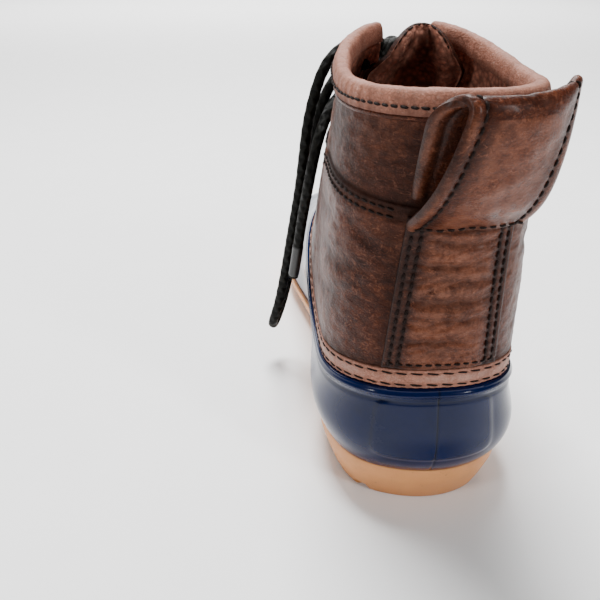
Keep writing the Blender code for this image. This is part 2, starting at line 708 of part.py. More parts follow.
def eyelet_spot(pair, side):
    """Polar angle, from 0 to 360, and height of an eyelet's middle."""
    share = 0.10 + 0.80 * pair / (EYELET_PAIRS - 1)
    low, high = top_height(180.0), rim_height(180.0) - ROLL_HEIGHT
    height = low + share * (high - low)
    gap = THROAT_GAP + share * (COLLAR_GAP - THROAT_GAP)
    turn = turn_at(side * (gap + EYELET_INSET), height, ahead=True)
    return turn % 360, height


def eyelet_place(pair, side):
    """Middle of an eyelet on the eyestay's outer face, and the outward direction."""
    turn, height = eyelet_spot(pair, side)
    normal = shaft_normal(turn, height)
    return shaft_point(turn, height) + EYESTAY_STEP * normal, normal


def turned_piece(name, profile, place, direction, collection, material):
    """A profile of radius and height, turned round its own axis and set on its seat."""
    sides = 10
    angles = np.arange(sides) * 2 * math.pi / sides
    across = unit(np.cross(direction, UP))
    along = np.cross(direction, across)
    rings = []
    for radius, height in profile:
        ring = place + height * direction
        ring = ring + radius * (np.cos(angles)[:, None] * across + np.sin(angles)[:, None] * along)
        rings.append(ring)
    rings.append(rings[0])
    rings = np.array(rings)
    faces = side_faces(len(rings) - 1, sides, True)
    last = (len(profile) - 1) * sides
    for c in range(sides):
        d = (c + 1) % sides
        faces.append((last + c, last + d, d, c))
    return mesh_object(name, rings[:-1], faces, collection, material)


def make_eyelets(collection, material):
    """Brass rings, each seated on the eyestay."""
    for pair in range(EYELET_PAIRS):
        for side, word in ((-1, "medial"), (1, "lateral")):
            place, normal = eyelet_place(pair, side)
            low, high = CLEARANCE + 0.0002, CLEARANCE + 0.0002 + EYELET_FLANGE
            profile = [(EYELET_BORE, low), (EYELET_RADIUS, low), (EYELET_RADIUS, high), (EYELET_BORE, high)]
            name = f"eyelet_{word}_{pair + 1}"
            turned_piece(name, profile, place, normal, collection, material)


def tube(name, points, cuts, collection, material):
    """A round lace along a smooth curve through the route's points, each span cut in parts."""
    route = np.array(points, float)
    count = len(route)
    fine = np.linspace(0, count - 1, cuts * (count - 1) + 1)
    smooth = np.stack([natural_spline(np.arange(count), route[:, i], fine) for i in range(3)], -1)
    curve = bpy.data.curves.new(name, "CURVE")
    curve.dimensions = "3D"
    curve.bevel_depth = LACE_RADIUS
    curve.bevel_resolution = 2
    curve.use_fill_caps = True
    line = curve.splines.new("POLY")
    line.points.add(len(smooth) - 1)
    line.points.foreach_set("co", np.concatenate([smooth, np.ones((len(smooth), 1))], 1).ravel())
    curve.materials.append(material)
    obj = bpy.data.objects.new(name, curve)
    collection.objects.link(obj)
    return obj


def tube_as_mesh(obj, collection):
    """The tube as a closed mesh, with its caps welded, so that it can be joined."""
    view = bpy.context.evaluated_depsgraph_get()
    mesh = bpy.data.meshes.new_from_object(obj.evaluated_get(view))
    work = bmesh.new()
    work.from_mesh(mesh)
    bmesh.ops.remove_doubles(work, verts=work.verts, dist=0.00001)
    work.to_mesh(mesh)
    work.free()
    joined = bpy.data.objects.new(obj.name, mesh)
    joined.matrix_world = obj.matrix_world
    collection.objects.link(joined)
    bpy.data.objects.remove(obj, do_unlink=True)
    return joined


def over_throat(start, end, past):
    """A lace's way over the throat, dipping between the eyestays and running past both eyelets.

    past is the share of the way by which it runs past, and differs so that no two ends coincide.
    """
    route = []
    high = EYESTAY_STEP + LACE_LIFT + EYELET_FLANGE + LACE_RADIUS
    for share in np.linspace(-past, 1 + past, 5):
        turn = start[0] + share * (end[0] - start[0])
        height = start[1] + share * (end[1] - start[1])
        offset = high - LACE_DIP * math.sin(math.pi * share) ** 2
        route.append(shaft_point(turn, height) + offset * shaft_normal(turn, height))
    return route


def make_lace(collection, cutters, material):
    """The crossings, from the lowest pair of eyelets up to the knot, joined into one solid."""
    routes = []
    spots = [(eyelet_spot(pair, 1), eyelet_spot(pair, -1)) for pair in range(EYELET_PAIRS)]
    routes.append(over_throat(spots[0][0], spots[0][1], LACE_PAST))
    for pair in range(EYELET_PAIRS - 1):
        routes.append(over_throat(spots[pair][0], spots[pair + 1][1], 1.3 * LACE_PAST))
        routes.append(over_throat(spots[pair][1], spots[pair + 1][0], 1.6 * LACE_PAST))
    for side in (0, 1):
        route = over_throat(spots[-1][side], spots[-1][1 - side], 0.6 * LACE_PAST)[:2]
        toward = KNOT_PLACE - route[0]
        reach = np.linalg.norm(toward)
        stop = KNOT_PLACE - toward * (KNOT_SIZE[0] + 5 * CLEARANCE) / reach
        routes.append([route[0], 0.5 * (route[0] + stop) + 0.5 * LACE_DIP * AHEAD, stop])
    pieces = []
    for number, route in enumerate(routes):
        name = "lace_crossings" if number == 0 else f"crossing_{number}"
        holder = collection if number == 0 else cutters
        pieces.append(tube_as_mesh(tube(name, route, 1, holder, material), holder))
    pieces[0].name = "lace_crossings"
    for piece in pieces[1:]:
        piece.hide_render = True
        piece.display_type = "WIRE"
        joint = pieces[0].modifiers.new(piece.name, "BOOLEAN")
        joint.operation = "UNION"
        joint.object = piece


def make_knot(collection, material):
    bpy.ops.mesh.primitive_uv_sphere_add(segments=16, ring_count=10, radius=1.0)
    knot = bpy.context.active_object
    knot.name = "lace_knot"
    knot.data.name = "lace_knot"
    knot.data.transform(Matrix.Diagonal((*KNOT_SIZE, 1.0)))
    knot.location = KNOT_PLACE
    for holder in list(knot.users_collection):
        holder.objects.unlink(knot)
    collection.objects.link(knot)
    knot.data.materials.append(material)
    knot.data.shade_smooth()


def stand_on_origin(collection):
    """Moves all pieces so that the origin is under the middle of the boot without its lace."""
    view = bpy.context.evaluated_depsgraph_get()
    corners = []
    for obj in collection.objects:
        if obj.name.startswith("lace_") and obj.name != "lace_crossings":
            continue
        mesh = obj.evaluated_get(view).to_mesh()
        places = np.empty(3 * len(mesh.vertices), np.float32)
        mesh.vertices.foreach_get("co", places)
        corners.append(places.reshape(-1, 3) + np.array(obj.location))
    places = np.concatenate(corners)
    low, high = places.min(axis=0), places.max(axis=0)
    shift = Vector((-(low[0] + high[0]) / 2, -(low[1] + high[1]) / 2, -low[2]))
    for obj in bpy.data.objects:
        obj.location = obj.location + shift
    return shift


def make_material(name, colour, roughness, metallic=0.0):
    material = bpy.data.materials.new(name)
    material.use_nodes = True
    shader = material.node_tree.nodes["Principled BSDF"]
    shader.inputs["Base Color"].default_value = (*colour, 1.0)
    shader.inputs["Roughness"].default_value = roughness
    shader.inputs["Metallic"].default_value = metallic
    material.diffuse_color = (*colour, 1.0)
    return material


def main():
    for obj in list(bpy.data.objects):
        bpy.data.objects.remove(obj, do_unlink=True)
    boot = bpy.data.collections.new("duck_boot")
    cutters = bpy.data.collections.new("cutters")
    bpy.context.scene.collection.children.link(boot)
    bpy.context.scene.collection.children.link(cutters)
    brown = make_material("brown_leather", (0.13, 0.045, 0.024), 0.35)
    tan = make_material("tan_leather", (0.34, 0.15, 0.09), 0.55)
    navy = make_material("navy_rubber", (0.005, 0.016, 0.07), 0.08)
    gum = make_material("gum_rubber", (0.60, 0.29, 0.13), 0.5)
    fleece = make_material("brown_fleece", (0.16, 0.06, 0.035), 0.95)
    cord_cloth = make_material("black_cord", (0.02, 0.02, 0.012), 0.6)
    brass = make_material("aged_brass", (0.30, 0.19, 0.09), 0.35, 1.0)
    make_outsole(boot, gum, cutters)
    make_shell(boot, navy)
    make_band(boot, tan)
    make_shaft(boot, brown)
    make_collar_roll(boot, tan)
    make_heel_strip(boot, brown)
    make_pull_loop(boot, brown)
    make_tongue(boot, brown)
    make_insole(boot, fleece)
    make_eyelets(boot, brass)
    make_lace(boot, cutters, cord_cloth)
    make_knot(boot, cord_cloth)
    for name, route in LACE_ROUTES.items():
        tube(name, route, 2, boot, cord_cloth)
    return stand_on_origin(boot)


BOOT_SHIFT = main()
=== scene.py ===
"""Finish of a lace-up duck boot for the right foot, laid out as a Blender add-on, run as a script.

Lengths are in metres. The forms are worked out with the heel's back at y = 0, the toe along +Y
and the lateral side along +X, and each mesh is then moved by HEEL_PLACE into the model's frame.
The sizes of last, walls and gaps repeat those of the solids, and finer forms are added to them.
"""

import math

import bmesh
import bpy
import numpy as np
from bpy.props import FloatProperty, FloatVectorProperty, PointerProperty
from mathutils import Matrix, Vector


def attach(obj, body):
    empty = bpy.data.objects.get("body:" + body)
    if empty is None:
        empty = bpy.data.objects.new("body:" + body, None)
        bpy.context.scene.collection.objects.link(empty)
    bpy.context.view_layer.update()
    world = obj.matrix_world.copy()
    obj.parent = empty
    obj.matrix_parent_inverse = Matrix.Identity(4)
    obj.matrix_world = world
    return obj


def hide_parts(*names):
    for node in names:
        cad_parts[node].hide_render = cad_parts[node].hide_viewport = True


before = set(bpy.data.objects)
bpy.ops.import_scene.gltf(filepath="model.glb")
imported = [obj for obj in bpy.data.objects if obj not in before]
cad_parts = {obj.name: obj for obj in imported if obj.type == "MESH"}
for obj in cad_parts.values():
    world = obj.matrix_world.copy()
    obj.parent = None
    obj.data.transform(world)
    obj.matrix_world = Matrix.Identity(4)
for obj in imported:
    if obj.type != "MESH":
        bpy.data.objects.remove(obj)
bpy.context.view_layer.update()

bl_info = {
    "name": "Duck boot finish",
    "version": (1, 0, 0),
    "blender": (4, 5, 0),
    "location": "View3D > Sidebar > Boot",
    "description": "Dresses the solids of a duck boot with rubber, leather, fleece, stitches and lace",
    "category": "Object",
}

# Sizes shared with the solids: last and boot
HEEL_PLACE = np.array([-0.0030472, -0.1306389, 0.0])
BOOT_LENGTH = 0.280
BALL_WIDTH = 0.101
HEEL_WIDTH = 0.0785
SHAFT_WIDTH = 0.0775
COLLAR_HEIGHT = 0.173
SHELL_HEIGHT = 0.0715
SOLE_HEIGHT = 0.0200

# Walls and clearances
CLEARANCE = 0.0003
SHELL_WALL = 0.0026
SHAFT_WALL = 0.0024
LEATHER = 0.0014
PANEL_STEP = 0.0006
EYESTAY_STEP = 0.0007
LIP_BULGE = 0.0011
INSOLE_THICKNESS = 0.0035
INSOLE_INSET = 0.0022

# Strips, collar and loop
BAND_WIDTH = 0.0088
BAND_THICKNESS = 0.0013
ROLL_HEIGHT = 0.0082
ROLL_THICKNESS = 0.0072
STRIP_WIDTH_TOP = 0.0375
STRIP_WIDTH_FOOT = 0.0430
STRIP_THICKNESS = 0.0014
STRIP_LEAN = 0.0028
LOOP_WIDTH = 0.0385
LOOP_THICKNESS = 0.0026
LOOP_REACH = 0.0160
LOOP_HEIGHT = 0.0420
LOOP_LEAN = 0.0105
LOOP_TURN = 0.0025
LOOP_SHEAR = 0.70
LOOP_FOOT_HEIGHT = 0.1310
PANEL_SEAM_HEIGHT = 0.1330

# Throat, tongue, eyelets and lace
THROAT_GAP = 0.0090
COLLAR_GAP = 0.0105
EYESTAY_WIDTH = 0.0210
TONGUE_THICKNESS = 0.0040
TONGUE_GAP = 0.0012
TONGUE_RISE = 0.0030
TONGUE_TUCK = 0.0120
TONGUE_HALF_WIDTH = 0.0250
TONGUE_LEAN = 0.0030
TONGUE_CURL = 0.0120
EYELET_PAIRS = 5
EYELET_RADIUS = 0.0042
EYELET_BORE = 0.0022
EYELET_FLANGE = 0.0008
EYELET_INSET = 0.0085
LACE_RADIUS = 0.0025
LACE_SEAT = EYELET_FLANGE + CLEARANCE + 0.80 * LACE_RADIUS
LACE_INSIDE = 0.0052
BRAID_PITCH = 0.0062
CORD_STEP = 0.0008
CORD_SIDES = 16
TIP_STEPS = 26
TIP_SLEEVE = 0.00025

# Seams: the trough's half width, a stitch's lean in degrees and how far it sinks as a share of its
# width, and how far each row of stitches lies from its edge
SEAM_WIDTH = 0.0008
STITCH_LEAN = 6.0
STITCH_SINK = 0.25
PANEL_SEAMS = (0.0022, 0.0050)
STRIP_SEAMS = (0.0024, 0.0054)
EYESTAY_SEAM = EYESTAY_WIDTH - 0.0018
THROAT_SEAM = 0.0022
LOOP_SEAM = 0.0044

# Locks of pile behind the tongue
LOCKS = 6000
LOCK_LENGTH = 0.0013
LOCK_RADIUS = 0.00034

# Outsole
LUG_DEPTH = 0.0032
LUG_GROOVE = 0.0042
LUG_PITCH = 0.0130
SOLE_LIP = 0.0014
SOLE_LIP_HEIGHT = 0.0036
SOLE_GROOVE = 0.0006
SOLE_TAPER = 0.0048
ARCH_RISE = 0.0045
TOE_SPRING = 0.0085
HEEL_END = 0.27
FOREFOOT_START = 0.42
SPRING_START = 0.70

BACK_ROUND = 2.35

# Columns and rows of the finer meshes
SOLE_COLUMNS = 280
SHELL_COLUMNS = 340
BAND_COLUMNS = 620
BAND_SEAM_ROWS = (4, 11)
SHAFT_COLUMNS = 420
COLLAR_COLUMNS, COLLAR_ROWS = 520, 25
STRIP_COLUMNS, STRIP_ROWS = 90, 130
LOOP_COLUMNS, LOOP_ROWS = 80, 190
TONGUE_COLUMNS, TONGUE_ROWS = 90, 130
INSOLE_COLUMNS = 200

UP = np.array([0.0, 0.0, 1.0])
AHEAD = np.array([0.0, 1.0, 0.0])

# Spokes of the shell, from the heel's back by the lateral side to the toe and back
SPOKES = [
    # across, by_heel, along, turn, flare, low, high
    (0.010, True, 0.010, 0.0, 34.0, 0.28, 0.26),
    (0.260, True, 0.024, 27.0, 34.0, 0.28, 0.26),
    (0.430, True, 0.068, 54.0, 32.0, 0.28, 0.26),
    (0.495, True, 0.160, 94.0, 26.0, 0.28, 0.26),
    (0.480, True, 0.310, 130.0, 22.0, 0.30, 0.28),
    (0.430, False, 0.450, 149.0, 18.0, 0.34, 0.34),
    (0.492, False, 0.620, 161.5, 12.0, 0.42, 0.44),
    (0.470, False, 0.770, 168.5, 8.0, 0.48, 0.58),
    (0.360, False, 0.890, 173.5, 6.0, 0.50, 0.70),
    (0.160, False, 0.968, 177.5, 6.0, 0.50, 0.80),
    (-0.050, False, 0.986, 181.0, 6.0, 0.50, 0.83),
    (-0.245, False, 0.958, 184.5, 6.0, 0.50, 0.78),
    (-0.385, False, 0.880, 188.5, 6.0, 0.48, 0.68),
    (-0.430, False, 0.780, 192.5, 6.0, 0.46, 0.56),
    (-0.420, False, 0.670, 199.0, 4.0, 0.42, 0.44),
    (-0.338, False, 0.500, 210.0, 3.0, 0.34, 0.34),
    (-0.445, True, 0.345, 229.0, 14.0, 0.30, 0.28),
    (-0.500, True, 0.180, 266.0, 26.0, 0.28, 0.26),
    (-0.430, True, 0.075, 306.0, 32.0, 0.28, 0.26),
    (-0.255, True, 0.028, 333.0, 34.0, 0.28, 0.26),
]

# Level sections of the shaft
SECTIONS = [
    # height, back, front, medial, lateral, middle, round
    (0.30, 0.004, 0.800, 0.515, 0.515, 0.175, 3.00),
    (0.41, 0.008, 0.680, 0.512, 0.512, 0.175, 2.80),
    (0.54, 0.016, 0.575, 0.508, 0.505, 0.175, 2.55),
    (0.68, 0.022, 0.500, 0.500, 0.497, 0.175, 2.35),
    (0.82, 0.018, 0.440, 0.480, 0.475, 0.176, 2.20),
    (0.94, 0.010, 0.398, 0.450, 0.445, 0.177, 2.10),
    (1.08, 0.004, 0.370, 0.430, 0.425, 0.178, 2.10),
]

KNOT_PLACE = np.array([-0.003, 0.1205, 0.1668])
KNOT_SIZE = (0.0084, 0.0058, 0.0062)
KNOT_HEART = 0.0046

# Routes of the bow's loops and the lace's ends, as in the solids
LACE_ROUTES = {
    "lace_loop_medial": [
        (-0.0114, 0.1192, 0.1703), (-0.0210, 0.1155, 0.1700), (-0.0310, 0.1115, 0.1635),
        (-0.0370, 0.1095, 0.1510), (-0.0410, 0.1090, 0.1335), (-0.0437, 0.1095, 0.1100),
        (-0.0475, 0.1105, 0.0850), (-0.0515, 0.1120, 0.0600), (-0.0555, 0.1130, 0.0390),
        (-0.0585, 0.1150, 0.0270), (-0.0575, 0.1200, 0.0235), (-0.0540, 0.1220, 0.0320),
        (-0.0500, 0.1205, 0.0500), (-0.0450, 0.1190, 0.0800), (-0.0400, 0.1185, 0.1100),
        (-0.0355, 0.1185, 0.1350), (-0.0290, 0.1190, 0.1515), (-0.0200, 0.1210, 0.1605),
        (-0.0112, 0.1223, 0.1637),
    ],
    "lace_loop_lateral": [
        (0.0047, 0.1193, 0.1698), (0.0110, 0.1180, 0.1720), (0.0165, 0.1165, 0.1710),
        (0.0220, 0.1145, 0.1675), (0.0270, 0.1120, 0.1610), (0.0310, 0.1095, 0.1520),
        (0.0345, 0.1080, 0.1380), (0.0375, 0.1085, 0.1200), (0.0390, 0.1110, 0.1050),
        (0.0385, 0.1160, 0.0990), (0.0365, 0.1195, 0.1060), (0.0335, 0.1210, 0.1200),
        (0.0285, 0.1220, 0.1380), (0.0215, 0.1225, 0.1530), (0.0140, 0.1220, 0.1615),
        (0.0056, 0.1219, 0.1650),
    ],
    "lace_end_medial": [
        (-0.0056, 0.1239, 0.1604), (-0.0125, 0.1290, 0.1535), (-0.0212, 0.1250, 0.1480),
        (-0.0288, 0.1140, 0.1435), (-0.0340, 0.1030, 0.1375), (-0.0378, 0.0970, 0.1285),
        (-0.0405, 0.0950, 0.1165), (-0.0425, 0.0965, 0.1040), (-0.0445, 0.0995, 0.0890),
        (-0.0463, 0.1020, 0.0730), (-0.0480, 0.1040, 0.0600),
    ],
    "lace_end_lateral": [
        (0.0014, 0.1243, 0.1622), (0.0075, 0.1310, 0.1535), (0.0135, 0.1370, 0.1425),
        (0.0195, 0.1435, 0.1285), (0.0245, 0.1500, 0.1135), (0.0280, 0.1565, 0.0985),
        (0.0300, 0.1630, 0.0860),
    ],
}

# The shell's top line and the collar's rim by polar angle in degrees from the heel's back
TOP_LINE = [(0, 1.00), (35, 0.97), (70, 0.89), (110, 0.85), (145, 0.96), (165, 1.16), (180, 1.28)]
RIM_LINE = [(0, 1.000), (50, 0.990), (100, 0.990), (140, 1.020), (168, 1.045), (180, 1.045)]

# Soft creases of the shaft: arc from the heel's back, height, half length, slope from level in
# degrees, depth and half width, in metres. A negative depth is a ridge.
SHAFT_CREASES = [
    # arc, height, reach, slope, depth, width
    (-0.084, 0.148, 0.024, 84.0, 0.0013, 0.0040),
    (-0.077, 0.146, 0.024, 86.0, -0.0009, 0.0036),
    (-0.094, 0.140, 0.020, 78.0, 0.0010, 0.0034),
    (-0.066, 0.118, 0.024, 12.0, 0.0009, 0.0032),
    (-0.050, 0.104, 0.022, 8.0, 0.0010, 0.0034),
    (-0.058, 0.096, 0.026, 14.0, -0.0006, 0.0036),
    (-0.062, 0.086, 0.024, 18.0, 0.0009, 0.0034),
    (-0.034, 0.120, 0.014, -30.0, 0.0006, 0.0030),
    (0.050, 0.112, 0.024, -10.0, 0.0009, 0.0034),
    (0.062, 0.098, 0.028, -14.0, 0.0010, 0.0036),
    (0.070, 0.086, 0.024, -18.0, 0.0008, 0.0034),
    (0.080, 0.146, 0.020, -80.0, 0.0009, 0.0038),
]

# Level creases of the heel strip: share of its height, reach as a share of its half width,
# place of the middle, depth and half width in metres
STRIP_CREASES = [
    # share, middle, reach, depth, width
    (0.93, -0.1, 1.3, 0.0007, 0.0022),
    (0.84, 0.2, 1.0, 0.0005, 0.0016),
    (0.70, -0.2, 0.8, 0.0006, 0.0018),
    (0.60, 0.3, 0.9, 0.0004, 0.0014),
    (0.46, -0.1, 1.2, 0.0007, 0.0020),
    (0.34, 0.1, 0.9, 0.0004, 0.0016),
    (0.20, -0.3, 1.0, 0.0006, 0.0018),
]

# Stage: the camera from the heel's back, in metres and degrees, its lens in the photo's pixels
CAMERA_LEFT, CAMERA_BACK, CAMERA_HEIGHT = 0.0526, 0.1956, 0.2132
CAMERA_TURN, CAMERA_TILT = 4.5, 29.5
FOCAL_PIXELS, FRAME_PIXELS = 650.0, 600.0
SENSOR_WIDTH = 36.0
SKY_STRENGTH = 0.14
LAMPS = [
    # name, place, aim, width, depth, watts
    ("top_softbox", (-0.10, 0.30, 1.20), (0.0, 0.0, 0.08), 0.50, 0.34, 34.0),
    ("left_softbox", (-1.00, -0.60, 0.62), (0.0, -0.05, 0.08), 0.16, 0.55, 4.5),
    ("far_softbox", (0.0, 2.1, 1.1), (0.0, 2.1, 0.0), 2.6, 1.4, 85.0),
    ("right_softbox", (0.80, -0.95, 0.70), (0.0, -0.05, 0.08), 0.16, 0.55, 8.0),
]


class BootSizes(bpy.types.PropertyGroup):
    """Sizes of the finer forms."""

    stitch_length: FloatProperty(
        name="Stitch", description="Length of one stitch", default=0.0029, unit="LENGTH"
    )
    stitch_pitch: FloatProperty(
        name="Pitch", description="From one stitch to the next", default=0.0034, unit="LENGTH"
    )
    thread_width: FloatProperty(
        name="Thread", description="Width of the sewing thread", default=0.0010, unit="LENGTH"
    )
    wrinkle_depth: FloatProperty(
        name="Wrinkles", description="Depth of the leather's fine wrinkles", default=0.00022, unit="LENGTH"
    )
    pile_height: FloatProperty(
        name="Pile", description="Height of the fleece's tufts", default=0.0008, unit="LENGTH"
    )
    braid_relief: FloatProperty(
        name="Braid", description="Relief of the lace's braid", default=0.00007, unit="LENGTH"
    )
    panel_raise: FloatProperty(
        name="Heel panel", description="Height of the shell's raised panel", default=0.0005, unit="LENGTH"
    )


class BootColours(bpy.types.PropertyGroup):
    """Colours of the boot's materials."""

    navy: FloatVectorProperty(
        name="Shell", description="Rubber of the shell", default=(0.0006, 0.0046, 0.034), subtype="COLOR"
    )
    gum: FloatVectorProperty(
        name="Sole", description="Rubber of the outsole", default=(0.60, 0.262, 0.098), subtype="COLOR"
    )
    brown: FloatVectorProperty(
        name="Shaft", description="Leather of the shaft", default=(0.092, 0.0195, 0.0070), subtype="COLOR"
    )
    tan: FloatVectorProperty(
        name="Trim", description="Leather of band and collar", default=(0.385, 0.162, 0.109), subtype="COLOR"
    )
    fleece: FloatVectorProperty(
        name="Fleece", description="Lining and tongue", default=(0.400, 0.165, 0.112), subtype="COLOR"
    )
    cord: FloatVectorProperty(
        name="Lace", description="Lace", default=(0.0030, 0.0028, 0.0020), subtype="COLOR"
    )
    thread: FloatVectorProperty(
        name="Thread", description="Sewing thread", default=(0.008, 0.004, 0.003), subtype="COLOR"
    )
    brass: FloatVectorProperty(
        name="Eyelets", description="Aged brass", default=(0.24, 0.14, 0.06), subtype="COLOR"
    )


# Curves and directions


def natural_spline(knots, values, at):
    """A smooth curve through a table's rows: cubic pieces with even bend where they meet."""
    knots = np.asarray(knots, float)
    values = np.asarray(values, float)
    steps = np.diff(knots)
    slopes = np.diff(values) / steps
    size = len(knots)
    system = np.eye(size)
    right = np.zeros(size)
    for i in range(1, size - 1):
        system[i, i - 1 : i + 2] = steps[i - 1], 2 * (steps[i - 1] + steps[i]), steps[i]
        right[i] = 6 * (slopes[i] - slopes[i - 1])
    bend = np.linalg.solve(system, right)
    at = np.asarray(at, float)
    i = np.clip(np.searchsorted(knots, at) - 1, 0, size - 2)
    step = knots[i + 1] - knots[i]
    a = np.clip((knots[i + 1] - at) / step, 0, 1)
    b = 1 - a
    lines = a * values[i] + b * values[i + 1]
    return lines + ((a**3 - a) * bend[i] + (b**3 - b) * bend[i + 1]) * step**2 / 6


def closed_spline(values, at):
    """A smooth closed curve through evenly spaced rows, counted by at."""
    values = np.asarray(values, float)
    size = len(values)
    near = np.eye(size)
    system = np.roll(near, 1, axis=1) + 4 * near + np.roll(near, -1, axis=1)
    bend = np.linalg.solve(system, 6 * (np.roll(values, -1) - 2 * values + np.roll(values, 1)))
    at = np.asarray(at, float) % size
    i = np.floor(at).astype(int) % size
    j = (i + 1) % size
    b = at - np.floor(at)
    a = 1 - b
    return a * values[i] + b * values[j] + ((a**3 - a) * bend[i] + (b**3 - b) * bend[j]) / 6


def path_through(points, count):
    """A smooth path of count points through a route's points."""
    route = np.asarray(points, float)
    at = np.arange(len(route))
    fine = np.linspace(0, len(route) - 1, count)
    return np.stack([natural_spline(at, route[:, i], fine) for i in range(3)], -1)


def run_along(points):
    """Length along a path up to each of its points."""
    return np.concatenate([[0], np.cumsum(np.linalg.norm(np.diff(points, axis=0), axis=1))])


def read_at(run, values, at):
    """A path's places or directions at lengths along it."""
    return np.stack([np.interp(at, run, values[:, i]) for i in range(3)], -1)


def even_path(points, step):
    """The same path cut into even steps of about that length."""
    run = run_along(points)
    return read_at(run, points, np.linspace(0, run[-1], max(3, int(run[-1] / step) + 1)))


def unit(vectors):
    """The same directions with length 1."""
    return vectors / np.maximum(np.linalg.norm(vectors, axis=-1, keepdims=True), 1e-12)


def smooth_step(share):
    """0 below 0, 1 above 1, and a smooth S between them."""
    share = np.clip(share, 0, 1)
    return share * share * (3 - 2 * share)


def soft_line(distance, width):
    """A soft trough's cross-section: 1 on the line and 0 some widths away."""
    return np.exp(-((distance / width) ** 2))


def edge_round(distance, radius):
    """Share of the full thickness near a rounded edge: a quarter circle of that radius."""
    near = 1 - np.clip(distance / radius, 0, 1)
    return np.sqrt(np.clip(1 - near**2, 0, 1))


def ripples(points, length, seed, count=7):
    """Smooth irregular relief between -1 and 1: a sum of sines in random directions."""
    draw = np.random.default_rng(seed)
    total = np.zeros(points.shape[:-1])
    for _ in range(count):
        direction = unit(draw.normal(size=points.shape[-1]))
        wave = length * draw.uniform(0.6, 1.7)
        total = total + np.sin(2 * np.pi * (points @ direction) / wave + draw.uniform(0, 2 * np.pi))
    return total / math.sqrt(2 * count) / 1.4


# The boot's main surfaces, as in the solids


def section(height):
    """Back, front, medial and lateral reach, middle and front roundness of a level section."""
    rows = np.array(SECTIONS)
    heights = rows[:, 0] * COLLAR_HEIGHT
    sizes = (BOOT_LENGTH, BOOT_LENGTH, SHAFT_WIDTH, SHAFT_WIDTH, BOOT_LENGTH, 1.0)
    return [natural_spline(heights, rows[:, i + 1] * size, height) for i, size in enumerate(sizes)]


def shaft_point(turn, height):
    """A point of the shaft's outer face, whose level section is a superellipse."""
    turn = np.asarray(turn, float)
    height = np.asarray(height, float)
    back, front, medial, lateral, middle, rounding = section(height)
    angle = np.radians(turn)
    across, along = np.sin(angle), -np.cos(angle)
    reach_across = np.where(across >= 0, lateral, medial)
    reach_along = np.where(along >= 0, front - middle, middle - back)
    power = np.where(along >= 0, rounding, BACK_ROUND)
    shares = np.abs(across / reach_across) ** power + np.abs(along / reach_along) ** power
    radius = shares ** (-1 / power)
    return np.stack([radius * across, middle + radius * along, height + 0 * turn], -1)


def shaft_normal(turn, height):
    """Outward direction of the shaft's outer face: the cross product of its two tangents."""
    turn = np.asarray(turn, float)
    height = np.asarray(height, float)
    around = shaft_point(turn + 0.5, height) - shaft_point(turn - 0.5, height)
    upward = shaft_point(turn, height + 0.0005) - shaft_point(turn, height - 0.0005)
    return unit(np.cross(around, upward))


def turn_at(across, height, ahead=False):
    """Polar angle at which the level section lies across metres from the middle plane."""
    across = np.asarray(across, float)
    back, front, medial, lateral, middle, rounding = section(height)
    share = np.clip(np.abs(across) / np.where(across >= 0, lateral, medial), 0, 1)
    if ahead:
        along = -(front - middle) * (1 - share**rounding) ** (1 / rounding)
    else:
        along = (middle - back) * (1 - share**BACK_ROUND) ** (1 / BACK_ROUND)
    return np.degrees(np.arctan2(across, along))


def by_turn(table, turn):
    """A table by polar angle, read on either side of the boot."""
    fold = 180 - np.abs(np.asarray(turn, float) % 360 - 180)
    mirrored = [(-row[0], row[1]) for row in table[:0:-1]] + table
    mirrored += [(360 - row[0], row[1]) for row in table[-2::-1]]
    return natural_spline([row[0] for row in mirrored], [row[1] for row in mirrored], fold)


def top_height(turn):
    """Height of the shell's top line."""
    return SHELL_HEIGHT * by_turn(TOP_LINE, turn)


def rim_height(turn):
    """Height of the collar's rim."""
    return COLLAR_HEIGHT * by_turn(RIM_LINE, turn)


def top_line(turn):
    """The shell's top line, with the wall's outward and upward directions there."""
    point = shaft_point(turn, top_height(turn))
    ahead, behind = turn + 0.5, turn - 0.5
    along = shaft_point(ahead, top_height(ahead)) - shaft_point(behind, top_height(behind))
    normal = shaft_normal(turn, top_height(turn))
    return point, normal, unit(np.cross(normal, along))


def sole_top(along):
    """Height of the sole's upper face: thinner at the ball, lifted at the toe."""
    shares = [0.0, 0.22, 0.40, 0.62, 0.80, 1.0]
    heights = [1.0, 0.98, 0.94, 0.80, 0.92, 1.30]
    return SOLE_HEIGHT * natural_spline(shares, heights, np.asarray(along) / BOOT_LENGTH)


def spokes(at):
    """The spoke table's columns in metres and degrees, at rows counted by at."""
    rows = SPOKES
    across = [row[0] * (HEEL_WIDTH if row[1] else BALL_WIDTH) for row in rows]
    along = [row[2] * BOOT_LENGTH for row in rows]
    even = np.arange(len(rows)) * 360 / len(rows)
    turn = closed_spline(np.array([row[3] for row in rows]) - even, at)
    turn = turn + np.asarray(at) * 360 / len(rows)
    flare = np.radians(closed_spline([row[4] for row in rows], at))
    low = SHELL_HEIGHT * closed_spline([row[5] for row in rows], at)
    high = SHELL_HEIGHT * closed_spline([row[6] for row in rows], at)
    return closed_spline(across, at), closed_spline(along, at), turn, flare, low, high


def foot_line(at, inset=0.0):
    """The line where shell and sole meet, moved inwards by inset, and its outward direction."""
    across, along = spokes(at)[:2]
    ahead = spokes(at + 0.02)
    behind = spokes(at - 0.02)
    tangent = unit(np.stack([ahead[0] - behind[0], ahead[1] - behind[1], 0 * across], -1))
    outward = np.cross(tangent, UP)
    point = np.stack([across, along, sole_top(along)], -1) - np.asarray(inset)[..., None] * outward
    return point, outward


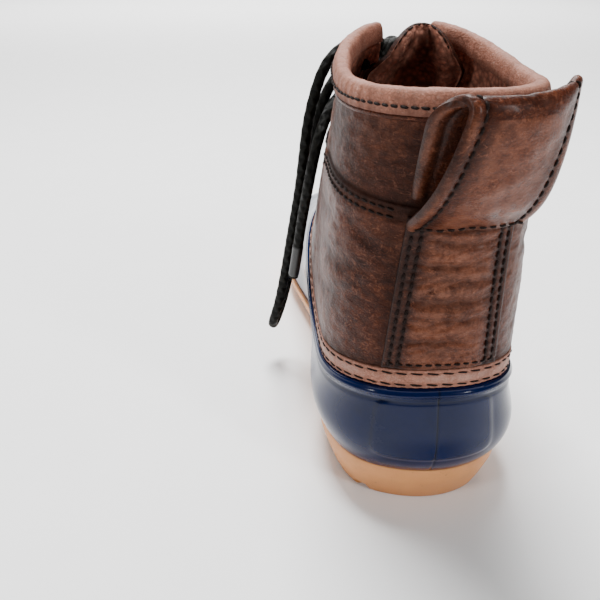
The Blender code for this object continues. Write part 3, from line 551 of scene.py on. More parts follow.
def shell_curve(at, share):
    """The shell's outer face: one Bezier curve for each spoke, from the sole to under the band."""
    flare, low, high = spokes(at)[3:]
    foot, outward = foot_line(at)
    top, normal, rise = top_line(spokes(at)[2])
    head = top - BAND_WIDTH * rise + LIP_BULGE * normal
    lean = np.sin(flare)[..., None] * outward + np.cos(flare)[..., None] * UP
    low_handle = foot + low[..., None] * lean
    high_handle = head + high[..., None] * unit(unit(foot - head) - rise)
    t = np.asarray(share, float)[..., None]
    lower = (1 - t) ** 3 * foot + 3 * t * (1 - t) ** 2 * low_handle
    return lower + 3 * t**2 * (1 - t) * high_handle + t**3 * head


def front_turn(share):
    """Polar angle of the shaft's front edge, from the throat (0) to the collar (1)."""
    height = top_height(180.0) + share * (rim_height(180.0) - top_height(180.0))
    return turn_at(THROAT_GAP + share * (COLLAR_GAP - THROAT_GAP), height, ahead=True)


def seam_height(turn):
    """The seam between the quarter and the collar panel, rising gently to the front."""
    fold = 180 - np.abs(np.asarray(turn, float) % 360 - 180)
    return PANEL_SEAM_HEIGHT + 0.07 * PANEL_SEAM_HEIGHT * (fold / 180)


def even_turns(height, edge, count):
    """Polar angles from edge to edge, closest together where the level section bends most."""
    fine = np.linspace(-edge, edge, 721)
    steps = np.diff(shaft_point(fine, height + 0 * fine), axis=0)
    lengths = np.linalg.norm(steps, axis=1)
    bends = np.linalg.norm(np.diff(unit(steps), axis=0, append=unit(steps)[-1:]), axis=1)
    weights = lengths / lengths.sum() + 0.3 * bends / bends.sum()
    reached = np.concatenate([[0.0], np.cumsum(weights)])
    return np.interp(np.linspace(0, reached[-1], count), reached, fine)


def grid_normals(grid, closed):
    """Outward directions of a grid whose rows go up and whose columns go round."""
    upward = np.gradient(grid, axis=0)
    if closed:
        around = np.roll(grid, -1, axis=1) - np.roll(grid, 1, axis=1)
    else:
        around = np.gradient(grid, axis=1)
    return unit(np.cross(around, upward))


# Meshes


class Skin:
    """Gathers grids of points into one mesh, with a UV map in metres and marks on the points.

    A grid's rows go up and its columns go round, so that its faces point outwards.
    """

    def __init__(self):
        self.points = []
        self.faces = []
        self.corners = []
        self.point_uv = []
        # Two marks: dark (dark edges and painted shade) and wear (rubs and painted sheen).
        self.marks = {"dark": [], "wear": []}
        self.count = 0

    def grid(self, grid, closed=False, flip=False, uv=None, dark=0.0, wear=0.0):
        rows, columns = grid.shape[:2]
        index = self.count + np.arange(rows * columns).reshape(rows, columns)
        self.count += rows * columns
        wide = columns + (1 if closed else 0)
        if uv is None:
            uv = np.stack(np.meshgrid(np.linspace(0, 1, wide), np.linspace(0, 1, rows)), -1)
        self.points.append(grid.reshape(-1, 3))
        self.point_uv.append(uv[:, :columns].reshape(-1, 2))
        self.marks["dark"].append((dark + np.zeros((rows, columns))).ravel())
        self.marks["wear"].append((wear + np.zeros((rows, columns))).ravel())
        around = np.concatenate([index, index[:, :1]], 1) if closed else index
        self.add(self.cells(around), self.cells(uv), flip)
        return index

    @staticmethod
    def cells(table):
        """The four corners of each cell of a table."""
        return np.stack([table[:-1, :-1], table[:-1, 1:], table[1:, 1:], table[1:, :-1]], 2)

    def add(self, faces, corners, flip):
        faces = faces.reshape(-1, 4)
        corners = corners.reshape(-1, 4, 2)
        if flip:
            faces, corners = faces[:, ::-1], corners[:, ::-1]
        self.faces.append(faces)
        self.corners.append(corners)

    def strip(self, first, second, closed=False, flip=False):
        """Faces between two lines of points."""
        if closed:
            first = np.append(first, first[0])
            second = np.append(second, second[0])
        faces = np.stack([first[:-1], first[1:], second[1:], second[:-1]], -1)
        self.add(faces, np.concatenate(self.point_uv)[faces], flip)

    def wall(self, outer, inner, closed=False, **looks):
        """A solid wall between two grids of the same size."""
        a = self.grid(outer, closed, **looks)
        b = self.grid(inner, closed, True, **looks)
        self.strip(a[0], b[0], closed, True)
        self.strip(a[-1], b[-1], closed)
        if not closed:
            self.strip(a[:, 0], b[:, 0])
            self.strip(a[:, -1], b[:, -1], flip=True)

    def cap(self, ring, middle, flip):
        """Closes a ring with a fan to its middle, a point laid down once for each face."""
        fan = self.grid(np.repeat(middle[None, None], len(ring), axis=1), True)
        self.faces.pop()
        self.corners.pop()
        self.strip(ring, fan[0], True, flip)

    def finish(self, name, maker, replaced=(), slot=None, sharp=50.0):
        """The mesh object, at rest on its body, with that maker's finish."""
        mesh = bpy.data.meshes.new(name)
        points = np.concatenate(self.points) + HEEL_PLACE
        faces = np.concatenate(self.faces)
        mesh.from_pydata(points, [], faces)
        layer = mesh.uv_layers.new(name="surface")
        layer.data.foreach_set("uv", np.concatenate(self.corners).astype(np.float32).ravel())
        for word, values in self.marks.items():
            mark = mesh.attributes.new(word, "FLOAT", "POINT")
            mark.data.foreach_set("value", np.concatenate(values).astype(np.float32))
        mesh.materials.append(cached(maker))
        mesh.shade_smooth()
        mesh.set_sharp_from_angle(angle=math.radians(sharp))
        obj = bpy.data.objects.new(name, mesh)
        bpy.context.scene.collection.objects.link(obj)
        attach(obj, "root")
        if replaced:
            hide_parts(*replaced)
        return obj


def metres_uv(grid, closed=False):
    """UV of a grid in metres: along its middle row, and up its first column."""
    middle = grid[len(grid) // 2]
    if closed:
        middle = np.concatenate([middle, middle[:1]])
    return np.stack(np.meshgrid(run_along(middle), run_along(grid[:, 0])), -1)


def cord_rings(path, radius, sides, relief):
    """A round cord: circles square to the path, carried along it without twist, with a braid.

    The braid's relief is the higher of two sines that wind round the cord in opposite ways.
    """
    tangent = unit(np.gradient(path, axis=0))
    across = np.zeros_like(path)
    across[0] = unit(np.cross(tangent[0], [0.31, 0.52, 0.79]))
    for i in range(1, len(path)):
        across[i] = unit(across[i - 1] - tangent[i] * (across[i - 1] @ tangent[i]))
    other = np.cross(tangent, across)
    turn = np.arange(sides) / sides
    run = run_along(path)
    one = np.sin(2 * np.pi * (3 * turn[None] + run[:, None] / BRAID_PITCH))
    two = np.sin(2 * np.pi * (3 * turn[None] - run[:, None] / BRAID_PITCH))
    reach = (np.asarray(radius) + 0 * run)[:, None] + relief * (np.maximum(one, two) - 0.5)
    angle = 2 * np.pi * turn
    spread = np.cos(angle)[None, :, None] * across[:, None] + np.sin(angle)[None, :, None] * other[:, None]
    rings = path[:, None] + reach[..., None] * spread
    wide = np.arange(sides + 1) / sides
    uv = np.stack(np.meshgrid(wide, run / (2 * LACE_RADIUS)), -1)
    return rings, uv


def add_cord(skin, path, radius, sides, relief=0.0, round_ends=True):
    """A closed cord along a path. Its ends are domes: rings that shrink as a quarter circle."""
    radius = radius + np.zeros(len(path))
    if round_ends:
        run = run_along(path)
        near = np.minimum(run, run[-1] - run)
        radius = radius * np.maximum(edge_round(near, 0.6 * radius), 0.12)
    rings, uv = cord_rings(path, radius, sides, relief)
    index = skin.grid(rings, True, False, uv)
    skin.cap(index[0], path[0], True)
    skin.cap(index[-1], path[-1], False)


def add_stitches(skin, points, normals, sizes, stretch):
    """A row of stitches: short threads along a line, thickest in the middle, sunk at both ends."""
    pitch, length = stretch * sizes.stitch_pitch, stretch * sizes.stitch_length
    width = sizes.thread_width / math.sqrt(stretch)
    run = run_along(points)
    count = max(1, int(run[-1] / pitch))
    middle = (np.arange(count) + 0.5) * run[-1] / count
    spot = read_at(run, points, middle)
    normal = unit(read_at(run, normals, middle))
    tangent = unit(read_at(run, points, middle + 0.0005) - read_at(run, points, middle - 0.0005))
    side = np.cross(tangent, normal)
    tangent = unit(tangent + math.tan(math.radians(STITCH_LEAN)) * side)
    side = np.cross(tangent, normal)
    share = np.linspace(-1, 1, 6)
    around = np.arange(6) * 2 * np.pi / 6
    reach = 0.5 * width * np.sqrt(np.clip(1 - 0.92 * share**4, 0, 1))
    lift = width * (0.5 - STITCH_SINK) - 0.55 * width * share**4
    rings = spot[:, None, None] + (0.5 * length * share)[None, :, None, None] * tangent[:, None, None]
    rings = rings + lift[None, :, None, None] * normal[:, None, None]
    rings = rings + (reach[:, None] * np.cos(around))[None, ..., None] * side[:, None, None]
    rings = rings + (reach[:, None] * np.sin(around))[None, ..., None] * normal[:, None, None]
    cells = np.arange(36).reshape(6, 6)
    cells = np.concatenate([cells, cells[:, :1]], 1)
    faces = Skin.cells(cells).reshape(-1, 4)
    caps = np.array([(0, 1, 2, 3), (3, 4, 5, 0), (33, 32, 31, 30), (30, 35, 34, 33)])
    faces = np.concatenate([faces, caps])[:, ::-1]
    every = (faces[None] + 36 * np.arange(count)[:, None, None]).reshape(-1, 4) + skin.count
    skin.count += 36 * count
    skin.points.append(rings.reshape(-1, 3))
    skin.point_uv.append(np.zeros((36 * count, 2)))
    for word in skin.marks:
        skin.marks[word].append(np.zeros(36 * count))
    skin.add(every, np.zeros((len(every), 4, 2)), False)


def sew(name, rows, sizes, stretch=1.0):
    """All stitches of one piece, along rows that are each a line and its outward directions."""
    threads = Skin()
    for line, out in rows:
        add_stitches(threads, line, out, sizes, stretch)
    threads.finish(name, sewing_thread, slot="black_cord")


def locks_of_pile(grid, normal, count, length, radius):
    """Locks of pile: three-sided spikes on a wall, spread by golden shares and bent to one side.

    Each lock is a small triangle on the wall and a tip that stands off it along the normal, with
    a lean that turns by the golden angle from lock to lock.
    """
    order = np.arange(count)
    row = 1 + (grid.shape[0] - 4) * (order + 0.5) / count
    column = 1 + (grid.shape[1] - 4) * ((order * 0.6180339887) % 1.0)
    low, left = row.astype(int), column.astype(int)
    up, over = (row - low)[:, None], (column - left)[:, None]
    lower = (1 - over) * grid[low, left] + over * grid[low, left + 1]
    upper = (1 - over) * grid[low + 1, left] + over * grid[low + 1, left + 1]
    spot = (1 - up) * lower + up * upper
    out = unit(normal[low, left])
    side = unit(np.cross(out, np.array([0.31, 0.17, 0.93])))
    across = np.cross(out, side)
    angle = (order * 2.399963)[:, None]
    lean = np.cos(angle) * side + np.sin(angle) * across
    size = (0.65 + 0.35 * np.sin(order * 7.13))[:, None]
    around = [angle + k * 2 * np.pi / 3 for k in range(3)]
    feet = [spot - 0.0002 * out + radius * (np.cos(a) * side + np.sin(a) * across) for a in around]
    tips = spot + length * size * (out + 0.75 * lean)
    points = np.stack(feet + [tips], 1).reshape(-1, 3)
    cells = np.array([(0, 1, 3), (1, 2, 3), (2, 0, 3), (2, 1, 0)])
    return points, (cells[None] + 4 * order[:, None, None]).reshape(-1, 3)


def cut_away(obj, cutter):
    """Cuts one mesh with another, keeps the result, and removes the cutter."""
    cut = obj.modifiers.new("cut", "BOOLEAN")
    cut.operation = "DIFFERENCE"
    cut.object = cutter
    view = bpy.context.evaluated_depsgraph_get()
    result = obj.evaluated_get(view)
    mesh = bpy.data.meshes.new_from_object(result, preserve_all_data_layers=True, depsgraph=view)
    obj.modifiers.clear()
    obj.data = mesh
    bpy.data.objects.remove(cutter, do_unlink=True)


def plain_mesh(name, points, faces):
    """A mesh object of these points and faces, with no UV map."""
    mesh = bpy.data.meshes.new(name)
    mesh.from_pydata(points, [], faces)
    obj = bpy.data.objects.new(name, mesh)
    bpy.context.scene.collection.objects.link(obj)
    return obj


# Materials

FINISH_ENDING = "_finish"


class Finish:
    """A material whose nodes are added and wired one by one."""

    def __init__(self, name, roughness, metallic=0.0, coat=0.0, coat_roughness=0.1, sheen=0.0):
        self.material = bpy.data.materials.new(name + FINISH_ENDING)
        self.material.use_nodes = True
        self.tree = self.material.node_tree
        self.shader = self.tree.nodes["Principled BSDF"]
        self.set("Roughness", roughness)
        self.set("Metallic", metallic)
        self.set("Coat Weight", coat)
        self.set("Coat Roughness", coat_roughness)
        self.set("Sheen Weight", sheen)
        self.heights = None

    def set(self, socket, value):
        self.shader.inputs[socket].default_value = value

    def node(self, kind, inputs=(), **settings):
        node = self.tree.nodes.new(kind)
        for word, value in settings.items():
            setattr(node, word, value)
        for word, value in dict(inputs).items():
            if isinstance(value, bpy.types.NodeSocket):
                self.tree.links.new(value, node.inputs[word])
            else:
                node.inputs[word].default_value = value
        return node

    def place(self, kind="Object", scale=(1, 1, 1)):
        """Object or UV coordinates, scaled."""
        source = self.node("ShaderNodeTexCoord").outputs[kind]
        return self.node("ShaderNodeMapping", {"Vector": source, "Scale": scale}).outputs["Vector"]

    def noise(self, scale, detail=4.0, rough=0.55, where=None, twist=0.0):
        inputs = {"Scale": scale, "Detail": detail, "Roughness": rough, "Distortion": twist}
        inputs["Vector"] = where or self.place()
        return self.node("ShaderNodeTexNoise", inputs).outputs["Fac"]

    def cells(self, scale, where=None, feature="DISTANCE_TO_EDGE"):
        inputs = {"Scale": scale, "Vector": where or self.place()}
        return self.node("ShaderNodeTexVoronoi", inputs, feature=feature).outputs["Distance"]

    def span(self, value, low, high, new_low=0.0, new_high=1.0):
        inputs = {"Value": value, "From Min": low, "From Max": high, "To Min": new_low, "To Max": new_high}
        return self.node("ShaderNodeMapRange", inputs).outputs["Result"]

    def combine(self, kind, first, second):
        return self.node("ShaderNodeMath", {0: first, 1: second}, operation=kind).outputs[0]

    def mark(self, word):
        return self.node("ShaderNodeAttribute", attribute_name=word).outputs["Fac"]

    def blend(self, share, first, second):
        node = self.node("ShaderNodeMix", data_type="RGBA")
        for slot, value in ((0, share), (6, first), (7, second)):
            if isinstance(value, bpy.types.NodeSocket):
                self.tree.links.new(value, node.inputs[slot])
            elif slot == 0:
                node.inputs[slot].default_value = value
            else:
                node.inputs[slot].default_value = (*value, 1.0)
        return node.outputs[2]

    def wire(self, socket, value):
        self.tree.links.new(value, self.shader.inputs[socket])

    def relief(self, height, distance, strength=1.0):
        """Adds one more layer of bump on those before it."""
        inputs = {"Height": height, "Distance": distance, "Strength": strength}
        if self.heights is not None:
            inputs["Normal"] = self.heights
        self.heights = self.node("ShaderNodeBump", inputs).outputs["Normal"]
        self.wire("Normal", self.heights)


def shade(colour, factor):
    """A lighter or darker tone of a colour."""
    return tuple(min(1.0, channel * factor) for channel in colour)


def navy_rubber(colours):
    """Wet-looking rubber: clear coat, a faint ripple, dull scuffs and a little dust low down."""
    finish = Finish("navy_rubber", 0.22, coat=0.19, coat_roughness=0.03)
    finish.set("Specular IOR Level", 0.12)
    navy = tuple(colours.navy)
    cloud = finish.span(finish.noise(26.0, 5.0), 0.42, 0.72)
    base = finish.blend(cloud, navy, shade(navy, 1.45))
    scratch = finish.noise(60.0, 8.0, 0.7, finish.place(scale=(1.0, 1.0, 7.0)), 1.2)
    scuff = finish.span(scratch, 0.66, 0.74)
    base = finish.blend(finish.combine("MULTIPLY", scuff, 0.22), base, (0.02, 0.03, 0.05))
    base = finish.blend(finish.mark("wear"), base, (0.03, 0.035, 0.05))
    # Painted shade in the grooves and at the heel panel's edge.
    base = finish.blend(finish.mark("dark"), base, (0.001, 0.002, 0.008))
    finish.wire("Base Color", base)
    finish.wire("Roughness", finish.span(finish.noise(34.0, 6.0), 0.35, 0.75, 0.10, 0.34))
    finish.relief(finish.noise(36.0, 1.0), 0.0012, 0.35)
    return finish.material


def gum_rubber(colours):
    """Translucent tan rubber: warm clouds, fine specks, painted shade in the groove and under the shell, and
    darker at the low edge.
    """
    finish = Finish("gum_rubber", 0.46, coat=0.05, coat_roughness=0.3)
    finish.set("Specular IOR Level", 0.2)
    gum = tuple(colours.gum)
    finish.set("Subsurface Weight", 0.12)
    finish.set("Subsurface Radius", (0.006, 0.003, 0.0012))
    base = finish.blend(finish.span(finish.noise(38.0, 5.0), 0.35, 0.70), gum, shade(gum, 1.22))
    speck = finish.span(finish.noise(420.0, 3.0), 0.66, 0.74)
    base = finish.blend(finish.combine("MULTIPLY", speck, 0.45), base, shade(gum, 0.45))
    stain = finish.span(finish.noise(90.0, 6.0, 0.7), 0.58, 0.78)
    base = finish.blend(finish.combine("MULTIPLY", stain, 0.35), base, shade(gum, 0.62))
    # Painted shade in the groove and under the shell, darker at the low edge.
    base = finish.blend(finish.mark("dark"), base, shade(gum, 0.30))
    finish.wire("Base Color", base)
    finish.relief(finish.noise(1400.0, 3.0), 0.00012, 0.5)
    return finish.material


def leather(name, colour, deep, bright, roughness, coat, grain, wear_colour):
    """Leather: pull-up clouds from deep to bright, pebbled grain, dark edges with painted shade in creases
    and under other pieces, pale rubs with painted sheen, and pale flecks of painted glint.
    """
    finish = Finish(name, roughness, coat=coat, coat_roughness=0.24)
    finish.set("Specular IOR Level", 0.08)
    cloud = finish.noise(21.0, 6.0, 0.62, twist=0.6)
    streak = finish.noise(95.0, 8.0, 0.72, finish.place(scale=(1.0, 1.0, 1.7)), 0.9)
    base = finish.blend(finish.span(cloud, 0.36, 0.66), deep, colour)
    base = finish.blend(finish.combine("MULTIPLY", finish.span(streak, 0.44, 0.74), 0.55), base, bright)
    pore = finish.cells(grain)
    base = finish.blend(finish.span(pore, 0.0, 0.20, 0.42, 0.0), base, shade(deep, 0.5))
    vein = finish.cells(0.40 * grain, finish.place(scale=(1.0, 1.0, 1.7)))
    vein = finish.span(vein, 0.0, 0.10, 0.55, 0.0)
    vein = finish.combine("MULTIPLY", vein, finish.span(finish.noise(48.0, 3.0), 0.44, 0.66))
    base = finish.blend(vein, base, shade(deep, 0.6))
    fibre = finish.noise(0.55 * grain, 8.0, 0.78, finish.place(scale=(1.0, 1.0, 1.5)), 1.6)
    base = finish.blend(finish.span(fibre, 0.50, 0.66, 0.0, 0.75), base, shade(deep, 0.7))
    # Pale flecks along the fibre: painted glints.
    base = finish.blend(finish.span(fibre, 0.46, 0.34, 0.0, 0.45), base, wear_colour)
    # Dark edges and seams, and painted shade in creases, dents and under other pieces.
    base = finish.blend(finish.mark("dark"), base, shade(deep, 0.34))
    patch = finish.span(finish.noise(240.0, 5.0, 0.7), 0.32, 0.66)
    # Pale rubs, and painted sheen where a piece is marked for it.
    base = finish.blend(finish.combine("MULTIPLY", finish.mark("wear"), patch), base, wear_colour)
    finish.wire("Base Color", base)
    dull = finish.combine("MULTIPLY", finish.mark("dark"), 0.35)
    gloss = finish.span(cloud, 0.3, 0.75, roughness + 0.12, roughness - 0.10)
    finish.wire("Roughness", finish.combine("ADD", gloss, dull))
    finish.relief(vein, -0.0005, 0.35)
    finish.relief(pore, 0.00030, 0.40)
    crinkle = finish.noise(0.42 * grain, 5.0, 0.6, finish.place(scale=(1.0, 1.0, 2.4)), 1.1)
    finish.relief(crinkle, 0.00060, 0.60)
    finish.relief(fibre, -0.00045, 0.55)
    finish.relief(finish.noise(1.9 * grain, 4.0), 0.00012, 0.40)
    return finish.material


def brown_leather(colours):
    """Dark pull-up leather with a dry face, as on the shaft."""
    brown = tuple(colours.brown)
    # worn: tone of pale rubs and of painted glints
    bright, worn = (0.190, 0.052, 0.020), (0.30, 0.112, 0.062)
    return leather("brown_leather", brown, shade(brown, 0.28), bright, 0.34, 0.04, 620.0, worn)


def polished_leather(colours):
    """The same leather with more wax on it, as on the loop and the heel strip."""
    brown = tuple(colours.brown)
    # worn: tone of pale rubs, of painted sheen and of painted glints
    bright, worn = (0.190, 0.052, 0.020), (0.33, 0.125, 0.070)
    return leather("polished_leather", brown, shade(brown, 0.34), bright, 0.27, 0.16, 620.0, worn)


def tan_leather(colours):
    """Soft pinkish leather, as on the band and the collar."""
    tan = tuple(colours.tan)
    # worn: tone of pale rubs and of painted glints
    worn = (0.46, 0.33, 0.27)
    return leather("tan_leather", tan, shade(tan, 0.66), shade(tan, 1.45), 0.46, 0.03, 760.0, worn)


def brown_fleece(colours):
    """Short curly pile: tufts from cells with painted shade between them, broken up by fine noise, with a
    soft sheen.
    """
    finish = Finish("brown_fleece", 0.95, sheen=0.12)
    finish.set("Specular IOR Level", 0.1)
    finish.set("Sheen Roughness", 0.5)
    finish.set("Sheen Tint", (0.9, 0.55, 0.42, 1.0))
    fleece = tuple(colours.fleece)
    tuft = finish.cells(430.0, feature="F1")
    curl = finish.noise(900.0, 5.0, 0.7, twist=1.5)
    # Lighter on the tufts, darker between them: painted shade.
    base = finish.blend(finish.span(tuft, 0.1, 0.75), shade(fleece, 1.35), shade(fleece, 0.35))
    base = finish.blend(finish.span(curl, 0.3, 0.7, 0.0, 0.6), base, shade(fleece, 0.55))
    base = finish.blend(finish.mark("dark"), base, shade(fleece, 0.25))
    finish.wire("Base Color", base)
    finish.relief(tuft, -0.0011, 0.8)
    finish.relief(curl, 0.0006, 0.8)
    return finish.material


def black_cord(colours):
    """Waxed braid: strands that wind both ways round the lace, with painted shade in the grooves between
    them, and paler crests worn by rubbing.
    """
    finish = Finish("black_cord", 0.52)
    finish.set("Specular IOR Level", 0.10)
    cord = tuple(colours.cord)
    where = finish.node("ShaderNodeTexCoord").outputs["UV"]
    parts = finish.node("ShaderNodeSeparateXYZ", {0: where})
    around = finish.combine("MULTIPLY", parts.outputs["X"], 6 * math.pi)
    along = finish.combine("MULTIPLY", parts.outputs["Y"], 4 * math.pi * LACE_RADIUS / BRAID_PITCH)
    one = finish.node("ShaderNodeMath", {0: finish.combine("ADD", around, along)}, operation="SINE")
    two = finish.node("ShaderNodeMath", {0: finish.combine("SUBTRACT", around, along)}, operation="SINE")
    braid = finish.combine("MAXIMUM", one.outputs[0], two.outputs[0])
    fibre = finish.noise(9.0, 4.0, 0.7, finish.place("UV", (9.0, 1.0, 1.0)))
    # Darker in the braid's grooves: painted shade; paler on the crests.
    base = finish.blend(finish.span(braid, -0.2, 0.9), shade(cord, 0.30), shade(cord, 1.5))
    base = finish.blend(finish.span(fibre, 0.45, 0.75, 0.0, 0.5), base, (0.016, 0.015, 0.011))
    finish.wire("Base Color", base)
    finish.relief(braid, 0.0004, 0.5)
    finish.relief(fibre, 0.0003, 0.5)
    return finish.material


def sewing_thread(colours):
    """Dark waxed thread with fine plies."""
    finish = Finish("sewing_thread", 0.62)
    finish.set("Specular IOR Level", 0.1)
    thread = tuple(colours.thread)
    ply = finish.noise(2600.0, 2.0)
    base = finish.blend(finish.span(ply, 0.35, 0.65), shade(thread, 0.6), shade(thread, 2.2))
    finish.wire("Base Color", base)
    finish.relief(ply, 0.0002, 0.6)
    return finish.material


def tip_sleeve(colours):
    """The worn sleeve on the lace's tips."""
    finish = Finish("tip_sleeve", 0.4)
    worn = finish.span(finish.noise(700.0, 3.0), 0.4, 0.7)
    finish.wire("Base Color", finish.blend(worn, (0.004, 0.0035, 0.003), (0.012, 0.011, 0.010)))
    return finish.material


def aged_brass(colours):
    """Brass with brown tarnish in patches."""
    finish = Finish("aged_brass", 0.36, metallic=1.0)
    brass = tuple(colours.brass)
    tarnish = finish.span(finish.noise(520.0, 5.0), 0.42, 0.62)
    finish.wire("Base Color", finish.blend(tarnish, brass, shade(brass, 0.28)))
    finish.wire("Roughness", finish.span(tarnish, 0.0, 1.0, 0.26, 0.60))
    return finish.material


def cached(maker):
    """A maker's finish, made once."""
    found = bpy.data.materials.get(maker.__name__ + FINISH_ENDING)
    return found or maker(bpy.context.scene.boot_colours)


# Pieces


def flat_ring(at, inset, height):
    """A ring of the sole's outline, inset in plan, at a height for each point."""
    point, _ = foot_line(at, inset)
    point[:, 2] = height
    return point


def tread_height(along):
    """Height of the tread: two flats on the floor, an arch between them and a toe spring."""
    share = np.asarray(along) / BOOT_LENGTH
    arch_in = np.clip((share - HEEL_END) / 0.02, 0, 1)
    arch_out = np.clip((FOREFOOT_START - share) / 0.08, 0, 1)
    spring = np.clip((share - SPRING_START) / (1 - SPRING_START), 0, 1)
    return ARCH_RISE * np.minimum(arch_in, arch_out) + TOE_SPRING * spring**1.8


def close_foot(skin, ring, flip):
    """Closes a foot-shaped ring of an even number of points with strips from side to side."""
    half = len(ring) // 2
    right = ring[: half + 1]
    left = np.concatenate([ring[:1], ring[:half - 1:-1]])
    skin.strip(right, left, flip=flip)


def make_outsole():
    """The gum sole: rings of the foot's outline, inset by the profile of its stepped side."""
    at = np.arange(SOLE_COLUMNS) * len(SPOKES) / SOLE_COLUMNS
    along = foot_line(at)[0][:, 1]
    ahead = np.clip(along / BOOT_LENGTH / 0.35 - 0.3, 0, 1)
    lip, groove = SOLE_LIP * ahead, SOLE_GROOVE * ahead
    tread, upper = tread_height(along), sole_top(along)
    groove_low = upper - SOLE_LIP_HEIGHT - SOLE_GROOVE
    step = upper - SOLE_LIP_HEIGHT
    profile = [
        # inset, height, painted shade
        (SOLE_TAPER + 0.0008, tread, 0.35),
        (SOLE_TAPER + 0.0002, tread + 0.0003, 0.30),
        (0.97 * SOLE_TAPER, tread + 0.0010, 0.12),
        (0.66 * SOLE_TAPER, 0.75 * tread + 0.25 * upper, 0.0),
        (0.30 * SOLE_TAPER, 0.5 * (tread + upper), 0.0),
        (0.6 * groove - 0.6 * lip, groove_low - 0.0012, 0.0),
        (groove - lip, groove_low, 0.35 * ahead),
        (groove + 0.0002 * ahead - lip, groove_low + 0.0003, 0.75 * ahead),
        (0.0002 * ahead - lip, step, 0.35 * ahead),
        (-lip, step + 0.0003, 0.0),
        (-lip, upper - 0.0006, 0.0),
        (0.0002 - lip, upper - 0.0001, 0.30),
        (0.0008 - lip, upper, 0.60),
    ]
    rings = np.array([flat_ring(at, inset, height) for inset, height, _ in profile])
    # Painted shade in the groove and under the shell, darker at the low edge.
    painted_shade = np.array([row[2] + 0 * at for row in profile])
    skin = Skin()
    index = skin.grid(rings, True, uv=metres_uv(rings, True), dark=painted_shade)
    close_foot(skin, index[0], True)
    close_foot(skin, index[-1], False)
    sole = skin.finish("outsole_gum", gum_rubber, ["outsole"], sharp=40)
    places = list(np.arange(0.016, HEEL_END * BOOT_LENGTH - 0.006, LUG_PITCH))
    places += list(np.arange(FOREFOOT_START * BOOT_LENGTH + 0.012, 0.93 * BOOT_LENGTH, LUG_PITCH))
    box = np.array([(x, y, z) for z in (-1, 1) for y in (-1, 1) for x in (-1, 1)], float)
    sides = [(0, 2, 3, 1), (4, 5, 7, 6), (0, 1, 5, 4), (2, 6, 7, 3), (0, 4, 6, 2), (1, 3, 7, 5)]
    points, faces = [], []
    for number, place in enumerate(places):
        half = np.array([0.7 * BALL_WIDTH, 0.5 * LUG_GROOVE, LUG_DEPTH])
        points.append(box * half + np.array([0, place, tread_height(place)]) + HEEL_PLACE)
        faces += [tuple(corner + 8 * number for corner in side) for side in sides]
    cut_away(sole, plain_mesh("tread_cutter", np.concatenate(points), faces))


def shell_spots():
    """Rows of the spoke table for the shell's columns, closer together at the mould seam."""
    at = np.linspace(0, len(SPOKES), SHELL_COLUMNS, endpoint=False)
    extra = np.array([0.012, 0.024, 0.040, 0.060, 0.085])
    return np.unique(np.concatenate([at, extra, len(SPOKES) - extra]))


def heel_panel(at, share):
    """1 inside the rounded rectangle at the heel, 0 outside, with a soft edge between."""
    side = np.minimum(at, len(SPOKES) - at) / 1.12
    level = np.abs(share - 0.585) / 0.345
    corner = (side**7 + level**7) ** (1 / 7)
    return smooth_step((1.04 - corner) / 0.10)


def make_shell(sizes):
    """The rubber lower: spokes' Bezier curves, a bead under the band, heel panel and mould seam."""
    at = shell_spots()
    shares = np.concatenate([np.linspace(0, 0.9, 44), np.linspace(0.915, 1, 9)])
    outer = np.stack([shell_curve(at, share + 0 * at) for share in shares])
    outer[0] = outer[0] + CLEARANCE * UP
    normals = grid_normals(outer, True)
    inner = outer - SHELL_WALL * normals
    inner[0, :, 2] = outer[0, :, 2]
    turns, level = np.meshgrid(at, shares)
    raised = sizes.panel_raise * heel_panel(turns, level)
    near_seam = np.minimum(turns, len(SPOKES) - turns) * 0.019
    seam = -0.00024 * soft_line(near_seam, 0.00040) * smooth_step((0.95 - level) / 0.03)
    bead = 0.0009 * soft_line(level - 0.962, 0.020) - 0.0005 * soft_line(level - 0.905, 0.014)
    sag = 0.00035 * ripples(outer, 0.045, 3) * smooth_step(level / 0.15) * smooth_step((0.9 - level) / 0.1)
    outer = outer + (raised + seam + bead + sag)[..., None] * normals
    top, normal, rise = top_line(spokes(at)[2])
    rebate = BAND_THICKNESS + CLEARANCE
    margin = SHELL_WALL + CLEARANCE
    ledge = top - (BAND_WIDTH - CLEARANCE) * rise
    brow = outer[-1] - 0.0004 * normal + 0.00025 * rise
    outer = np.concatenate([outer, [brow, ledge - rebate * normal, top - rebate * normal]])
    inner[-1] = ledge - margin * normal - 2 * CLEARANCE * rise
    inner = np.concatenate([inner, [ledge - margin * normal - CLEARANCE * rise]])
    inner = np.concatenate([inner, [ledge - margin * normal, top - margin * normal]])
    dust = np.zeros(outer.shape[:2])
    dust[: len(shares)] = 0.30 * soft_line(level, 0.05) + 0.10 * soft_line(level - 0.93, 0.02)
    line = np.zeros(outer.shape[:2])
    edge = heel_panel(turns, level)
    # Painted shade along the heel panel's edge, in the groove under the lip and in the mould seam's trough.
    groove_shade = 0.55 * soft_line(level - 0.897, 0.009) + 0.8 * soft_line(near_seam, 0.00035)
    line[: len(shares)] = 1.6 * edge * (1 - edge) + groove_shade
    skin = Skin()
    skin.wall(outer, inner, True, uv=metres_uv(outer, True), wear=0.5 * dust, dark=line)
    skin.finish("shell_rubber", navy_rubber, ["shell"])
    lining = Skin()
    face = inner[2:-4]
    inward = normals[2:-1]
    pile = 0.0016 + 0.0006 * ripples(face, 0.004, 8)
    lining.wall(face - CLEARANCE * inward, face - pile[..., None] * inward, True)
    lining.finish("shell_lining", brown_fleece)


